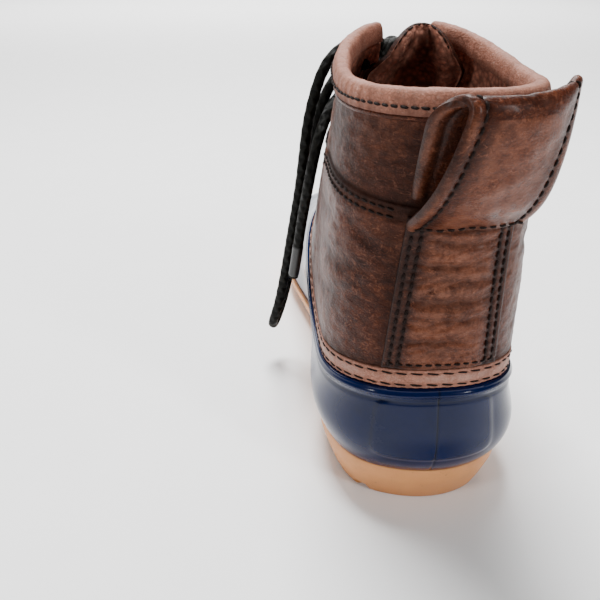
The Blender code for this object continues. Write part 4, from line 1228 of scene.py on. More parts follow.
def make_band(sizes):
    """The leather strip round the shell's top: rounded edges, two sewn troughs, small puckers."""
    at = np.linspace(0, len(SPOKES), BAND_COLUMNS, endpoint=False)
    top, normal, rise = top_line(spokes(at)[2])
    width = BAND_WIDTH - 2 * CLEARANCE
    shares = [0, 0.03, 0.08, 0.14, 0.19, 0.24, 0.31, 0.42, 0.55, 0.66, 0.73, 0.78, 0.83, 0.9, 0.95, 0.98, 1]
    shares = np.array(shares)
    run = run_along(top)
    thick, wear, dark = [], [], []
    for share in shares:
        from_side = min(share, 1 - share) * width
        height = BAND_THICKNESS * (0.45 + 0.55 * edge_round(from_side + 0 * run, 0.0011))
        trough = soft_line(share - 0.21, 0.05) + soft_line(share - 0.80, 0.05)
        pucker = np.cos(2 * np.pi * run / sizes.stitch_pitch) * soft_line(min(share, 1 - share), 0.22)
        thick.append(height + 0.0003 - 0.0003 * trough + 0.00010 * pucker)
        wear.append(0.15 + 0.85 * soft_line(share - 0.52, 0.18) + 0 * run)
        dark.append(0.65 * max(soft_line(share, 0.05), soft_line(1 - share, 0.05)) + 0.30 * trough + 0 * run)
    thick, wear, dark = np.array(thick), np.array(wear), np.array(dark)
    foot = top[None] - (width * (1 - shares))[:, None, None] * rise[None]
    inner = foot - BAND_THICKNESS * normal[None]
    bumps = 0.00018 * ripples(foot, 0.007, 21)
    outer = inner + (thick + bumps)[..., None] * normal[None]
    rub_and_sheen = np.clip(0.55 + 0.7 * ripples(foot, 0.028, 5), 0, 1) * soft_line(foot[..., 1], 0.075)
    skin = Skin()
    skin.wall(outer, inner, True, uv=metres_uv(outer, True), wear=wear * (0.12 + 0.88 * rub_and_sheen), dark=dark)
    skin.finish("shell_band_leather", tan_leather, ["shell_band"])
    closed = np.append(np.arange(BAND_COLUMNS), 0)
    rows = [(outer[row][closed], normal[closed]) for row in BAND_SEAM_ROWS]
    sew("band_stitches", rows, sizes, stretch=1.7)


def soft_creases(arc, height, table):
    """Sum of soft troughs: each is a bell across its line and fades out along it."""
    total = np.zeros(arc.shape)
    for middle, level, reach, slope, depth, width in table:
        angle = math.radians(slope)
        along = (arc - middle) * math.cos(angle) + (height - level) * math.sin(angle)
        across = (height - level) * math.cos(angle) - (arc - middle) * math.sin(angle)
        across = across - 0.10 * along**2 / reach
        total = total - depth * soft_line(across, width) * smooth_step(1.15 - np.abs(along) / reach)
    return total


def shaft_surface(columns):
    """The shaft's base grid: point, normal, turn, height and arc from the heel's back."""
    rows = []
    below = [(0, share) for share in np.linspace(0, 1, 66)]
    seam = [(1, gap) for gap in (-0.0008, -0.0004, -0.0001, 0.0001, 0.0004, 0.0008, 0.0012)]
    above = [(2, share) for share in np.linspace(0, 1, 26)]
    for part, value in below + seam + above:
        low = SHELL_HEIGHT if part == 0 else PANEL_SEAM_HEIGHT
        high = PANEL_SEAM_HEIGHT if part == 0 else COLLAR_HEIGHT - ROLL_HEIGHT
        level = low + (value if part != 1 else 0) * (high - low)
        share = (level - SHELL_HEIGHT) / (COLLAR_HEIGHT - SHELL_HEIGHT)
        turn = even_turns(level, front_turn(share), columns)
        start, end = top_height(turn) + 2 * CLEARANCE, rim_height(turn) - ROLL_HEIGHT
        line = seam_height(turn)
        if part == 0:
            height = start + value * (line - 0.0012 - start)
        elif part == 1:
            height = line + value
        else:
            height = line + 0.0016 + value * (end - line - 0.0016)
        rows.append((turn, height))
    turn = np.array([row[0] for row in rows])
    height = np.array([row[1] for row in rows])
    point = shaft_point(turn, height)
    steps = np.linalg.norm(np.diff(point, axis=1, prepend=point[:, :1]), axis=-1)
    arc = np.cumsum(steps, axis=1)
    back = np.abs(turn).argmin(axis=1)
    arc = arc - arc[np.arange(len(arc)), back][:, None]
    return point, shaft_normal(turn, height), turn, height, arc


def make_shaft(sizes):
    """The leather upper: steps at seam and eyestays, soft creases and wrinkles, cut for eyelets."""
    point, normal, turn, height, arc = shaft_surface(SHAFT_COLUMNS)
    from_edge = np.minimum(
        np.linalg.norm(point[:, :1] - point, axis=-1), np.linalg.norm(point[:, -1:] - point, axis=-1)
    )
    gap = height - seam_height(turn)
    stay = smooth_step((EYESTAY_WIDTH - from_edge) / 0.0007)
    step = EYESTAY_STEP * stay - PANEL_STEP * smooth_step((gap + 0.0003) / 0.0006)
    spread = np.stack([arc, 2.1 * height], -1)
    calm = smooth_step(gap / 0.01 * np.sign(gap) + 0.2) * (1 - 0.8 * stay)
    fine = sizes.wrinkle_depth * (ripples(spread, 0.010, 11, 9) + 0.5 * ripples(spread, 0.0042, 12, 9)) * calm
    broad = 0.0005 * ripples(point, 0.050, 13) * smooth_step((height - top_height(turn)) / 0.012)
    creases = soft_creases(arc, height, SHAFT_CREASES) * smooth_step((height - top_height(turn)) / 0.008)
    sewn = sum(soft_line(gap + below, SEAM_WIDTH) for below in PANEL_SEAMS)
    sewn = sewn + soft_line(from_edge - EYESTAY_SEAM, SEAM_WIDTH)
    outer = point + (step + fine + broad + creases - 0.00028 * sewn)[..., None] * normal
    inner = point - LEATHER * normal
    dark = 0.85 * soft_line(gap, 0.0011) + 0.55 * soft_line(gap + 0.001, 0.0045)
    # Darker just above the band: painted shade.
    dark = dark + 0.55 * soft_line(height - top_height(turn), 0.0040)
    dark = dark + 0.8 * soft_line(from_edge, 0.0010) + 0.6 * soft_line(from_edge - EYESTAY_WIDTH, 0.0010)
    # In the creases the darkening is painted shade.
    dark = dark + 0.55 * sewn + 0.30 * smooth_step(gap / 0.006) + 260.0 * np.clip(-creases, 0, 0.0015)
    # Darker beside the heel strip's edges: painted shade.
    dark = dark + 0.35 * soft_line(np.abs(arc) - 0.021, 0.004) * (gap < 0)
    rub_and_sheen = 500.0 * np.clip(creases + broad, 0, 0.0008)
    skin = Skin()
    uv = np.stack([arc, height], -1)
    skin.wall(outer, inner, uv=uv, dark=np.clip(dark, 0, 0.92), wear=np.clip(rub_and_sheen, 0, 0.35))
    shaft = skin.finish("shaft_leather", brown_leather, ["shaft"])
    holes = Skin()
    for pair in range(EYELET_PAIRS):
        for side in (-1, 1):
            place, out = eyelet_place(pair, side)
            line = place + np.linspace(-0.006, 0.004, 3)[:, None] * out
            add_cord(holes, line, EYELET_BORE + 0.0005, 16, round_ends=False)
    points = np.concatenate(holes.points) + HEEL_PLACE
    cutter = plain_mesh("eyelet_cutter", points, np.concatenate(holes.faces))
    weld_ends(cutter)
    cut_away(shaft, cutter)
    make_shaft_lining(point, normal, sizes)
    sew("shaft_stitches", shaft_seams(outer, normal, gap, from_edge, turn), sizes)


def weld_ends(obj):
    """Welds the points that lie together in a mesh."""
    work = bmesh.new()
    work.from_mesh(obj.data)
    bmesh.ops.remove_doubles(work, verts=work.verts, dist=0.000001)
    work.to_mesh(obj.data)
    work.free()


def make_shaft_lining(point, normal, sizes):
    """Fleece inside the shaft: a thin wall whose inner face is lifted in tufts."""
    point, normal = point[:, 2:-2], normal[:, 2:-2]
    base = point - (LEATHER + 0.0001) * normal
    tufts = 0.5 + 0.5 * ripples(base, 0.0035, 31, 11)
    thick = SHAFT_WALL - LEATHER + sizes.pile_height * tufts
    face = base - thick[..., None] * normal
    skin = Skin()
    skin.wall(base, face)
    skin.finish("shaft_lining", brown_fleece)


def level_line(field, value, outer, normal, keep):
    """Points of a surface where a field crosses a value, one for each column."""
    columns = np.arange(outer.shape[1])
    row = np.clip(np.argmax(field >= value, axis=0), 1, None)
    low, high = field[row - 1, columns], field[row, columns]
    share = np.clip((value - low) / np.where(high == low, 1, high - low), 0, 1)[:, None]
    points = (1 - share) * outer[row - 1, columns] + share * outer[row, columns]
    normals = (1 - share) * normal[row - 1, columns] + share * normal[row, columns]
    return points[keep], normals[keep]


def shaft_seams(outer, normal, gap, from_edge, turn):
    """Rows of stitches below the panel seam, beside the heel strip, and along both eyestays."""
    turns = turn[60]
    rows = []
    for below in PANEL_SEAMS:
        for side in (-1, 1):
            beside = (np.abs(turns) > 27) & (np.sign(turns) == side)
            rows.append(level_line(gap, -below, outer, normal, beside))
    columns = outer.shape[1] // 2
    for inset in (EYESTAY_SEAM, THROAT_SEAM):
        for half in (slice(None, columns), slice(None, columns - 1, -1)):
            face, away = (grid[:, half].transpose(1, 0, 2) for grid in (outer, normal))
            rows.append(level_line(from_edge[:, half].T, inset, face, away, slice(2, -2)))
    return rows


def roll_section(turns, plump):
    """Rings of the collar roll: a padded half round over the shaft's edge, one for each turn."""
    rim = rim_height(turns)
    point, normal = shaft_point(turns, rim), shaft_normal(turns, rim)
    foot = rim - ROLL_HEIGHT + CLEARANCE
    outward = unit(normal * np.array([1.0, 1.0, 0.0]))
    middle = point - (SHAFT_WALL / 2) * outward
    angle = np.linspace(0, np.pi, COLLAR_ROWS)
    side = np.sign(np.cos(angle)) * np.abs(np.cos(angle)) ** 0.62
    rise = np.abs(np.sin(angle)) ** 0.80
    tuck = 1 - 0.10 * soft_line(rise, 0.16)
    ring = middle[:, None] + (side * tuck)[None, :, None] * plump[..., None] * outward[:, None]
    ring[..., 2] = foot[:, None] + rise[None] * (rim - foot)[:, None]
    return ring


def make_collar(sizes):
    """The padded tan roll: plump in the middle of its sides, pulled in at its sewn lower edge."""
    turns = even_turns(COLLAR_HEIGHT, front_turn(1.0), COLLAR_COLUMNS)
    half = ROLL_THICKNESS / 2
    ends = np.clip(np.minimum(turns - turns[0], turns[-1] - turns) / 6, 0, 1)
    plump = (0.80 + 0.20 * edge_round(ends, 1.0)) * half
    angle = np.linspace(0, np.pi, COLLAR_ROWS)
    base = roll_section(turns, np.repeat(plump[:, None], COLLAR_ROWS, axis=1))
    run = run_along(base[:, 0])
    spread = np.stack(np.broadcast_arrays(run[:, None], 0.35 * half * angle[None]), -1)
    pucker = 0.00028 * ripples(spread, 0.0036, 41, 9) + 0.00050 * ripples(spread, 0.011, 42)
    pucker = pucker * (0.5 + 0.5 * soft_line(angle - 0.5, 0.9))[None]
    sway = 0.0007 * ripples(np.stack([run, 0 * run], -1), 0.026, 43)
    pucker = pucker + sway[:, None] * soft_line(angle - 2.5, 0.7)
    ring = roll_section(turns, plump[:, None] + pucker)
    ring[..., 2] += 0.6 * pucker * np.sin(angle)[None]
    from_end = np.minimum(run, run[-1] - run)
    end = 0.25 + 0.75 * edge_round(from_end, 0.0034)
    heart = ring.mean(axis=1, keepdims=True) * np.array([1, 1, 0]) + ring[:, :1] * np.array([0, 0, 1])
    ring = heart + end[:, None, None] * (ring - heart)
    grid = ring.transpose(1, 0, 2)
    dark = 0.55 * soft_line(np.minimum(angle, np.pi - angle), 0.16)[:, None] + np.zeros((1, len(turns)))
    # Darker in the hollows of the puckers: painted shade.
    dark = dark + 900.0 * np.clip(-pucker.T, 0, 0.0003)
    wear = 0.02 + 0.10 * soft_line(angle - 1.3, 0.5)[:, None] + np.zeros((1, len(turns)))
    skin = Skin()
    uv = np.stack(np.meshgrid(run, 0.006 * angle), -1)
    index = skin.grid(grid, uv=uv, dark=np.clip(dark, 0, 0.8), wear=wear)
    skin.strip(index[0], index[-1], flip=True)
    close_end(skin, index[:, 0], True)
    close_end(skin, index[:, -1], False)
    roll = skin.finish("collar_roll_leather", tan_leather, ["collar_roll"])
    out = grid_normals(grid, False)[2]
    line = grid[2] + 0.00005 * out
    sew("collar_stitches", [(line[6:-6], out[6:-6])], sizes)
    piping = Skin()
    height = rim_height(turns) - ROLL_HEIGHT - 0.0006
    edge = shaft_point(turns, height) + 0.0001 * shaft_normal(turns, height)
    add_cord(piping, even_path(edge[3:-3], 0.0012), 0.0010, 8, round_ends=False)
    piping.finish("collar_piping", brown_leather)


def close_end(skin, ring, flip):
    """Closes a cut end whose outline is folded about its middle, by strips from side to side."""
    half = len(ring) // 2
    left = ring[: half + 1]
    right = ring[: half - 1 : -1]
    skin.strip(left, right, flip=flip)


def strip_spots(columns, rows):
    """Turn and height over the heel strip, from above the band to the loop's foot."""
    sides = np.linspace(-1, 1, columns)[None]
    share = np.linspace(0, 1, rows)[:, None]
    half = (STRIP_WIDTH_FOOT + share * (STRIP_WIDTH_TOP - STRIP_WIDTH_FOOT)) / 2
    middle_height = SHELL_HEIGHT + share * (LOOP_FOOT_HEIGHT - SHELL_HEIGHT) + 0 * sides
    across = sides * half + share * STRIP_LEAN
    turn = turn_at(across, middle_height)
    start = top_height(turn) + 2 * CLEARANCE
    return turn, start + share * (LOOP_FOOT_HEIGHT - start), sides, share, half


def make_heel_strip(sizes):
    """The back stay: rounded edges, two sewn troughs on each side and level creases."""
    turn, height, sides, share, half = strip_spots(STRIP_COLUMNS, STRIP_ROWS)
    normal = shaft_normal(turn, height)
    seat = shaft_point(turn, height) + CLEARANCE * normal
    from_side = (1 - np.abs(sides)) * half
    from_end = np.minimum(share, 1 - share) * (LOOP_FOOT_HEIGHT - SHELL_HEIGHT)
    round_edge = edge_round(np.minimum(from_side, from_end), 0.0009)
    sewn = sum(soft_line(from_side - inset, SEAM_WIDTH) for inset in STRIP_SEAMS)
    from_foot = share * (LOOP_FOOT_HEIGHT - SHELL_HEIGHT)
    foot_seam = soft_line(from_foot - 0.0022, SEAM_WIDTH)
    crease = np.zeros(turn.shape)
    for level, middle, reach, depth, width in STRIP_CREASES:
        bend = level + 0.05 * (sides - middle) ** 2
        across = (share - bend) * (LOOP_FOOT_HEIGHT - SHELL_HEIGHT)
        fade = smooth_step(1.1 - np.abs(sides - middle) / reach) * smooth_step((from_side - 0.005) / 0.003)
        crease = crease - depth * soft_line(across, width) * fade
        crease = crease + 0.6 * depth * soft_line(across - 1.9 * width, width) * fade
    puff = 0.0005 * smooth_step((from_side - 0.0058) / 0.004) * smooth_step(from_end / 0.006)
    spread = np.stack([sides * half, 2.2 * height], -1)
    fine = sizes.wrinkle_depth * ripples(spread, 0.007, 51, 9) * smooth_step((from_side - 0.002) / 0.003)
    relief = puff + crease + fine - 0.00035 * sewn - 0.0003 * foot_seam
    thick = (STRIP_THICKNESS * round_edge + relief * round_edge).clip(0.0001)
    outer = seat + thick[..., None] * normal
    # Darker in the creases: painted shade.
    dark = 0.85 * soft_line(from_side, 0.0011) + 0.80 * sewn + 500.0 * np.clip(-crease, 0, 0.001)
    dark = dark + 0.35 * soft_line(from_side - 0.0039, 0.0030) + 0.75 * soft_line(from_foot, 0.0010)
    # Darker at the top, under the loop: painted shade.
    dark = dark + 0.6 * soft_line(1 - share, 0.05)
    # Paler over the middle: painted sheen; paler on the raised crests: rubs.
    rub_and_sheen = 0.26 * smooth_step((from_side - 0.006) / 0.004) + 420.0 * np.clip(crease + puff - 0.0002, 0, 0.0008)
    skin = Skin()
    uv = np.stack([sides * half + 0 * height, height], -1)
    skin.wall(outer, seat, uv=uv, dark=np.clip(dark, 0, 0.92), wear=np.clip(rub_and_sheen, 0, 0.6))
    skin.finish("heel_strip_leather", polished_leather, ["heel_strip"], slot="brown_leather")
    rows = []
    for side in (-1, 1):
        for inset in STRIP_SEAMS:
            column = np.interp(side * (1 - inset / half[:, 0]), sides[0], np.arange(STRIP_COLUMNS))
            rows.append((blend_columns(outer, column)[2:-6], blend_columns(normal, column)[2:-6]))
    rows.append((outer[5, 3:-3], normal[5, 3:-3]))
    sew("strip_stitches", rows, sizes)


def blend_columns(grid, column):
    """One point of each row, at a column that may lie between two."""
    low = np.clip(np.floor(column).astype(int), 0, grid.shape[1] - 2)
    share = (column - low)[:, None]
    rows = np.arange(len(grid))
    return (1 - share) * grid[rows, low] + share * grid[rows, low + 1]


def loop_route():
    """The loop's side view, as reach behind the shaft and height: up the outside, over and down."""
    reach, tall = LOOP_REACH, LOOP_HEIGHT
    low, sewn = LOOP_FOOT_HEIGHT, LOOP_THICKNESS / 2 + CLEARANCE
    return np.array([
        (sewn + STRIP_THICKNESS + 2 * CLEARANCE, low - 0.06 * tall),
        (0.50 * reach, low + 0.05 * tall),
        (0.80 * reach, low + 0.22 * tall),
        (0.98 * reach, low + 0.46 * tall),
        (1.02 * reach, low + 0.71 * tall),
        (0.97 * reach, low + 0.91 * tall),
        (0.83 * reach, low + 1.00 * tall),
        (0.67 * reach, low + 0.95 * tall),
        (0.55 * reach, low + 0.80 * tall),
        (0.43 * reach, low + 0.60 * tall),
        (0.28 * reach, low + 0.38 * tall),
        (sewn + CLEARANCE, low + 0.18 * tall),
    ])


def loop_surface(columns, rows):
    """The strap's middle face: its side view carried across, leaning to the lateral side."""
    route = loop_route()
    count = np.arange(len(route))
    fine = np.linspace(0, len(route) - 1, rows)
    reach = natural_spline(count, route[:, 0], fine)
    height = natural_spline(count, route[:, 1], fine)
    sides = np.linspace(-1, 1, columns)
    rise = np.clip((height - LOOP_FOOT_HEIGHT) / LOOP_HEIGHT, 0, 1)
    width = STRIP_WIDTH_TOP + (LOOP_WIDTH - STRIP_WIDTH_TOP) * rise
    lean = LOOP_LEAN * rise * (1 - LOOP_SHEAR * smooth_step((fine - 5) / 3))
    across = sides[None] * width[:, None] / 2 + (STRIP_LEAN + lean)[:, None]
    level = height[:, None] + 0 * across
    turn = turn_at(across, level)
    normal = shaft_normal(turn, level)
    away = np.clip((reach - reach[0]) / LOOP_REACH, 0, 1)[:, None, None]
    direction = unit((1 - away) * normal - away * AHEAD)
    out = reach[:, None] - LOOP_TURN * sides * away[..., 0]
    return shaft_point(turn, level) + out[..., None] * direction, sides, width


def make_pull_loop(sizes):
    """The folded loop: a strap with rolled edges, a sewn trough beside each and soft dents."""
    grid, sides, width = loop_surface(LOOP_COLUMNS, LOOP_ROWS)
    normal = grid_normals(grid, False)
    from_side = (1 - np.abs(sides))[None] * width[:, None] / 2
    run = run_along(grid[:, LOOP_COLUMNS // 2])
    from_end = np.minimum(run, run[-1] - run)[:, None]
    round_edge = edge_round(from_side, 0.0013) * edge_round(from_end + 0.0004, 0.0010)
    rolled = 0.0005 * soft_line(from_side - 0.0019, 0.0014)
    sewn = soft_line(from_side - LOOP_SEAM, SEAM_WIDTH)
    spread = np.stack(np.broadcast_arrays(sides[None] * width[:, None] / 2, run[:, None]), -1)
    dents = 0.00045 * ripples(spread, 0.020, 61) * smooth_step((from_side - 0.005) / 0.004)
    fine = sizes.wrinkle_depth * ripples(spread, 0.006, 62, 9) * smooth_step((from_side - 0.004) / 0.003)
    half = LOOP_THICKNESS / 2
    outer = grid + ((half + rolled - 0.0004 * sewn + dents + fine) * round_edge)[..., None] * normal
    inner = grid - ((half + rolled - 0.0003 * sewn) * round_edge)[..., None] * normal
    dark = 0.65 * soft_line(from_side, 0.0012) + 0.55 * sewn + 0.55 * soft_line(from_end, 0.0025)
    # In the dents the darkening is painted shade.
    dark = dark + 0.25 * soft_line(from_side - 0.0060, 0.0030) + 900.0 * np.clip(-dents, 0, 0.0004)
    rub_and_sheen = 0.6 * soft_line(from_side - 0.0019, 0.0012) * (0.4 + 0.6 * ripples(spread, 0.016, 63)).clip(0, 1)
    # Paler over the middle of the lower half: painted sheen.
    rub_and_sheen = rub_and_sheen + 0.30 * smooth_step((from_side - 0.006) / 0.004) * (run[:, None] < 0.5 * run[-1])
    skin = Skin()
    skin.wall(outer, inner, uv=spread, dark=np.clip(dark, 0, 0.9), wear=np.clip(rub_and_sheen, 0, 0.5))
    skin.finish("pull_loop_leather", polished_leather, ["pull_loop"], slot="brown_leather")
    rows = []
    for side in (-1, 1):
        column = np.interp(side * (1 - 2 * LOOP_SEAM / width), sides, np.arange(LOOP_COLUMNS))
        rows.append((blend_columns(outer, column)[3:-3], blend_columns(normal, column)[3:-3]))
    rows.append((outer[8, 4:-4], normal[8, 4:-4]))
    sew("loop_stitches", rows, sizes)


def tongue_surface(columns, rows):
    """The tongue's outer face: under the eyestays, then free and curled above the collar."""
    sides = np.linspace(-1, 1, columns)[None]
    share = np.sin(np.linspace(0, np.pi / 2, rows))[:, None]
    low = top_height(180.0) - TONGUE_TUCK
    high = rim_height(180.0) + TONGUE_RISE
    under_roll = rim_height(180.0) - 2 * ROLL_HEIGHT
    free = np.clip((share - 0.62) / 0.38, 0, 1)
    taper = np.sqrt(np.clip(1 - np.clip((share - 0.74) / 0.2605, 0, 1) ** 2.2, 0, 1))
    half = TONGUE_HALF_WIDTH * (0.86 + 0.14 * share) * taper
    height = low + share * (high - low) + 0 * sides
    inside = np.clip((height - under_roll) / ROLL_HEIGHT, 0, 1)
    inset = SHAFT_WALL + TONGUE_GAP + inside * (ROLL_THICKNESS - SHAFT_WALL)
    turn = turn_at(sides * half, height, ahead=True)
    point = shaft_point(turn, height) - inset[..., None] * shaft_normal(turn, height)
    point[..., 0] += TONGUE_LEAN * free**1.3
    point[..., 1] -= free * (0.010 + TONGUE_CURL * (sides * taper) ** 2)
    return point[:, ::-1], shaft_normal(turn, height)[:, ::-1], half, share, sides


def make_tongue(sizes):
    """The tongue: leather in front, and behind it a fleece pad lifted in tufts, with a sewn edge."""
    grid, normal, half, share, sides = tongue_surface(TONGUE_COLUMNS, TONGUE_ROWS)
    height = grid[:, TONGUE_COLUMNS // 2, 2][:, None]
    from_side = np.minimum((1 - np.abs(sides)) * half, (1 - share) * 0.105)
    fine = sizes.wrinkle_depth * ripples(grid, 0.009, 71, 9)
    outer = grid + fine[..., None] * normal
    middle = grid - (0.42 * TONGUE_THICKNESS) * normal
    dark = 0.7 * soft_line(from_side, 0.0012) + 0 * grid[..., 0]
    skin = Skin()
    skin.wall(outer, middle, uv=np.stack([sides * half + 0 * share, height + 0 * sides], -1), dark=dark)
    skin.finish("tongue_leather", brown_leather, ["tongue"])
    tufts = sizes.pile_height * (0.5 + 0.5 * ripples(grid, 0.0035, 72, 11))
    edge = edge_round(from_side - 0.0008, 0.0020) * (1 + 0.5 * soft_line(from_side - 0.0045, 0.0030))
    thick = 0.0001 + (0.58 * TONGUE_THICKNESS - 0.0002 + tufts) * edge
    back = middle - 0.00005 * normal
    fleece = Skin()
    face = back - thick[..., None] * normal
    fleece.wall(back, face, dark=0.6 * soft_line(from_side - 0.0012, 0.0014) + 0 * grid[..., 0])
    fleece.finish("tongue_fleece", brown_fleece)
    shown = (slice(45, -2), slice(3, -3))
    points, cells = locks_of_pile(face[shown], -normal[shown], LOCKS, LOCK_LENGTH, LOCK_RADIUS)
    pile = plain_mesh("tongue_pile", points + HEEL_PLACE, cells)
    pile.data.materials.append(cached(brown_fleece))
    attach(pile, "root")
    rim = np.concatenate([middle[60:-3, 2], middle[-3, 3:-3], middle[-3:60:-1, -3]])
    out = -np.concatenate([normal[60:-3, 2], normal[-3, 3:-3], normal[-3:60:-1, -3]])
    sew("tongue_stitches", [(rim, out)], sizes)


def make_insole():
    """The footbed: the foot's outline, with a rounded edge and a soft pile on top."""
    at = np.arange(INSOLE_COLUMNS) * len(SPOKES) / INSOLE_COLUMNS
    inset = SHELL_WALL + INSOLE_INSET
    low = sole_top(foot_line(at, inset)[0][:, 1]) + CLEARANCE
    profile = [
        # inset, height
        (0.0006, 0.0),
        (0.0, 0.0005),
        (0.0, INSOLE_THICKNESS - 0.0009),
        (0.0007, INSOLE_THICKNESS - 0.0002),
        (0.0020, INSOLE_THICKNESS),
    ]
    rings = np.array([flat_ring(at, inset + more, low + rise) for more, rise in profile])
    skin = Skin()
    index = skin.grid(rings, True)
    close_foot(skin, index[0], True)
    close_foot(skin, index[-1], False)
    skin.finish("insole_fleece", brown_fleece, ["insole"])


def eyelet_spot(pair, side):
    """Polar angle, from 0 to 360, and height of an eyelet's middle."""
    share = 0.10 + 0.80 * pair / (EYELET_PAIRS - 1)
    low, high = top_height(180.0), rim_height(180.0) - ROLL_HEIGHT
    height = low + share * (high - low)
    gap = THROAT_GAP + share * (COLLAR_GAP - THROAT_GAP)
    turn = turn_at(side * (gap + EYELET_INSET), height, ahead=True)
    return turn % 360, height


def eyelet_place(pair, side):
    """Middle of an eyelet on the eyestay's outer face, and the outward direction."""
    turn, height = eyelet_spot(pair, side)
    normal = shaft_normal(turn, height)
    return shaft_point(turn, height) + EYESTAY_STEP * normal, normal


def make_eyelets():
    """Brass rings: a rounded flange and a barrel through the wall, turned round their own axis."""
    low = CLEARANCE
    high = low + EYELET_FLANGE + 0.0002
    profile = np.array([
        (EYELET_BORE, -0.0030), (EYELET_BORE + 0.0004, -0.0030), (EYELET_BORE + 0.0004, low),
        (EYELET_RADIUS - 0.0002, low), (EYELET_RADIUS, low + 0.0003), (EYELET_RADIUS - 0.0003, high - 0.0002),
        (EYELET_RADIUS - 0.0010, high), (EYELET_BORE + 0.0005, high - 0.0001), (EYELET_BORE, high - 0.0006),
    ])
    angle = np.arange(28) * 2 * np.pi / 28
    for pair in range(EYELET_PAIRS):
        for side, word in ((-1, "medial"), (1, "lateral")):
            place, normal = eyelet_place(pair, side)
            across = unit(np.cross(normal, UP))
            along = np.cross(normal, across)
            spin = np.cos(angle)[:, None] * across + np.sin(angle)[:, None] * along
            rings = place + profile[:, 1][:, None, None] * normal + profile[:, 0][:, None, None] * spin
            skin = Skin()
            index = skin.grid(rings, True)
            skin.strip(index[-1], index[0], True)
            name = f"eyelet_{word}_{pair + 1}"
            skin.finish(name + "_brass", aged_brass, [name], sharp=60)


def strand(first, second, over):
    """A lace's way from inside one eyelet, out and over the throat, and in at another."""
    (start, out_start), (end, out_end) = first, second
    way = unit(end - start)
    top = LACE_SEAT
    middle = 0.5 * (start + end) + over * unit(out_start + out_end)
    quarter = 0.75 * start + 0.25 * end + (0.5 * over + 0.5 * top) * out_start
    far = 0.25 * start + 0.75 * end + (0.5 * over + 0.5 * top) * out_end
    return [
        start - LACE_INSIDE * out_start - 0.0010 * way, start - 0.0022 * out_start,
        start + 0.35 * top * out_start + 0.0004 * way, start + top * out_start + 0.0028 * way,
        quarter, middle, far, end + top * out_end - 0.0028 * way,
        end + 0.35 * top * out_end - 0.0004 * way, end - 0.0022 * out_end,
        end - LACE_INSIDE * out_end + 0.0010 * way,
    ]


def crossing_routes():
    """Ways of the lace: one straight bar, two crossings for each pair, and both ends to the knot."""
    places = [(eyelet_place(pair, -1), eyelet_place(pair, 1)) for pair in range(EYELET_PAIRS)]
    routes = [strand(places[0][0], places[0][1], 0.0026)]
    for pair in range(EYELET_PAIRS - 1):
        routes.append(strand(places[pair][1], places[pair + 1][0], 0.0014))
        routes.append(strand(places[pair][0], places[pair + 1][1], 0.0056))
    for side, (place, out) in zip((-1, 1), places[-1]):
        rest = KNOT_PLACE + np.array([side * 0.0045, -0.0015, -0.0010])
        way = unit(rest - place)
        routes.append([
            place - LACE_INSIDE * out - 0.001 * way, place - 0.0022 * out,
            place + 0.35 * LACE_SEAT * out + 0.0004 * way, place + LACE_SEAT * out + 0.0028 * way,
            0.5 * (place + rest) + 0.0012 * out, rest,
        ])
    return routes


def make_knot(sizes):
    """The knot: one closed trefoil, tightly wound, round a short straight heart."""
    tight = 0.94 * LACE_RADIUS
    turn = np.linspace(0, 2 * np.pi, 160)
    across = 0.36 * (np.sin(turn) + 2 * np.sin(2 * turn))
    along = 0.34 * (np.cos(turn) - 2 * np.cos(2 * turn))
    room = np.array(KNOT_SIZE) - tight
    wind = KNOT_PLACE + np.stack([across, along, -0.8 * np.sin(3 * turn)], -1) * room
    heart = np.linspace(-0.7, 0.7, 9)[:, None] * np.array([room[0], 0, 0]) + KNOT_PLACE
    knot = Skin()
    add_cord(knot, even_path(wind, CORD_STEP), tight, CORD_SIDES, sizes.braid_relief)
    add_cord(knot, heart, KNOT_HEART, CORD_SIDES, sizes.braid_relief)
    knot.finish("lace_knot_cord", black_cord, ["lace_knot"])


def make_lace(sizes):
    """The lace: crossings through the eyelets, the knot, the bow's loops and both ends."""
    crossings = Skin()
    for route in crossing_routes():
        path = even_path(path_through(route, 120), CORD_STEP)
        add_cord(crossings, path, LACE_RADIUS, CORD_SIDES, sizes.braid_relief)
    crossings.finish("lace_crossings_cord", black_cord, ["lace_crossings"])
    make_knot(sizes)
    for name, route in LACE_ROUTES.items():
        path = even_path(path_through(route, 400), CORD_STEP)
        skin = Skin()
        add_cord(skin, path, LACE_RADIUS, CORD_SIDES, sizes.braid_relief, round_ends=False)
        piece = skin.finish(name + "_cord", black_cord, [name])
        loop = "loop" in name
        extra = [] if loop else [make_tip(name, path[-TIP_STEPS:])]


def make_tip(name, path):
    """The lace's tip: a smooth sleeve round its last stretch."""
    skin = Skin()
    add_cord(skin, path, LACE_RADIUS + TIP_SLEEVE, CORD_SIDES)
    return skin.finish(name + "_tip", tip_sleeve, slot="black_cord")


# Stage, seen as in the photo: from behind and above, with the heel nearest


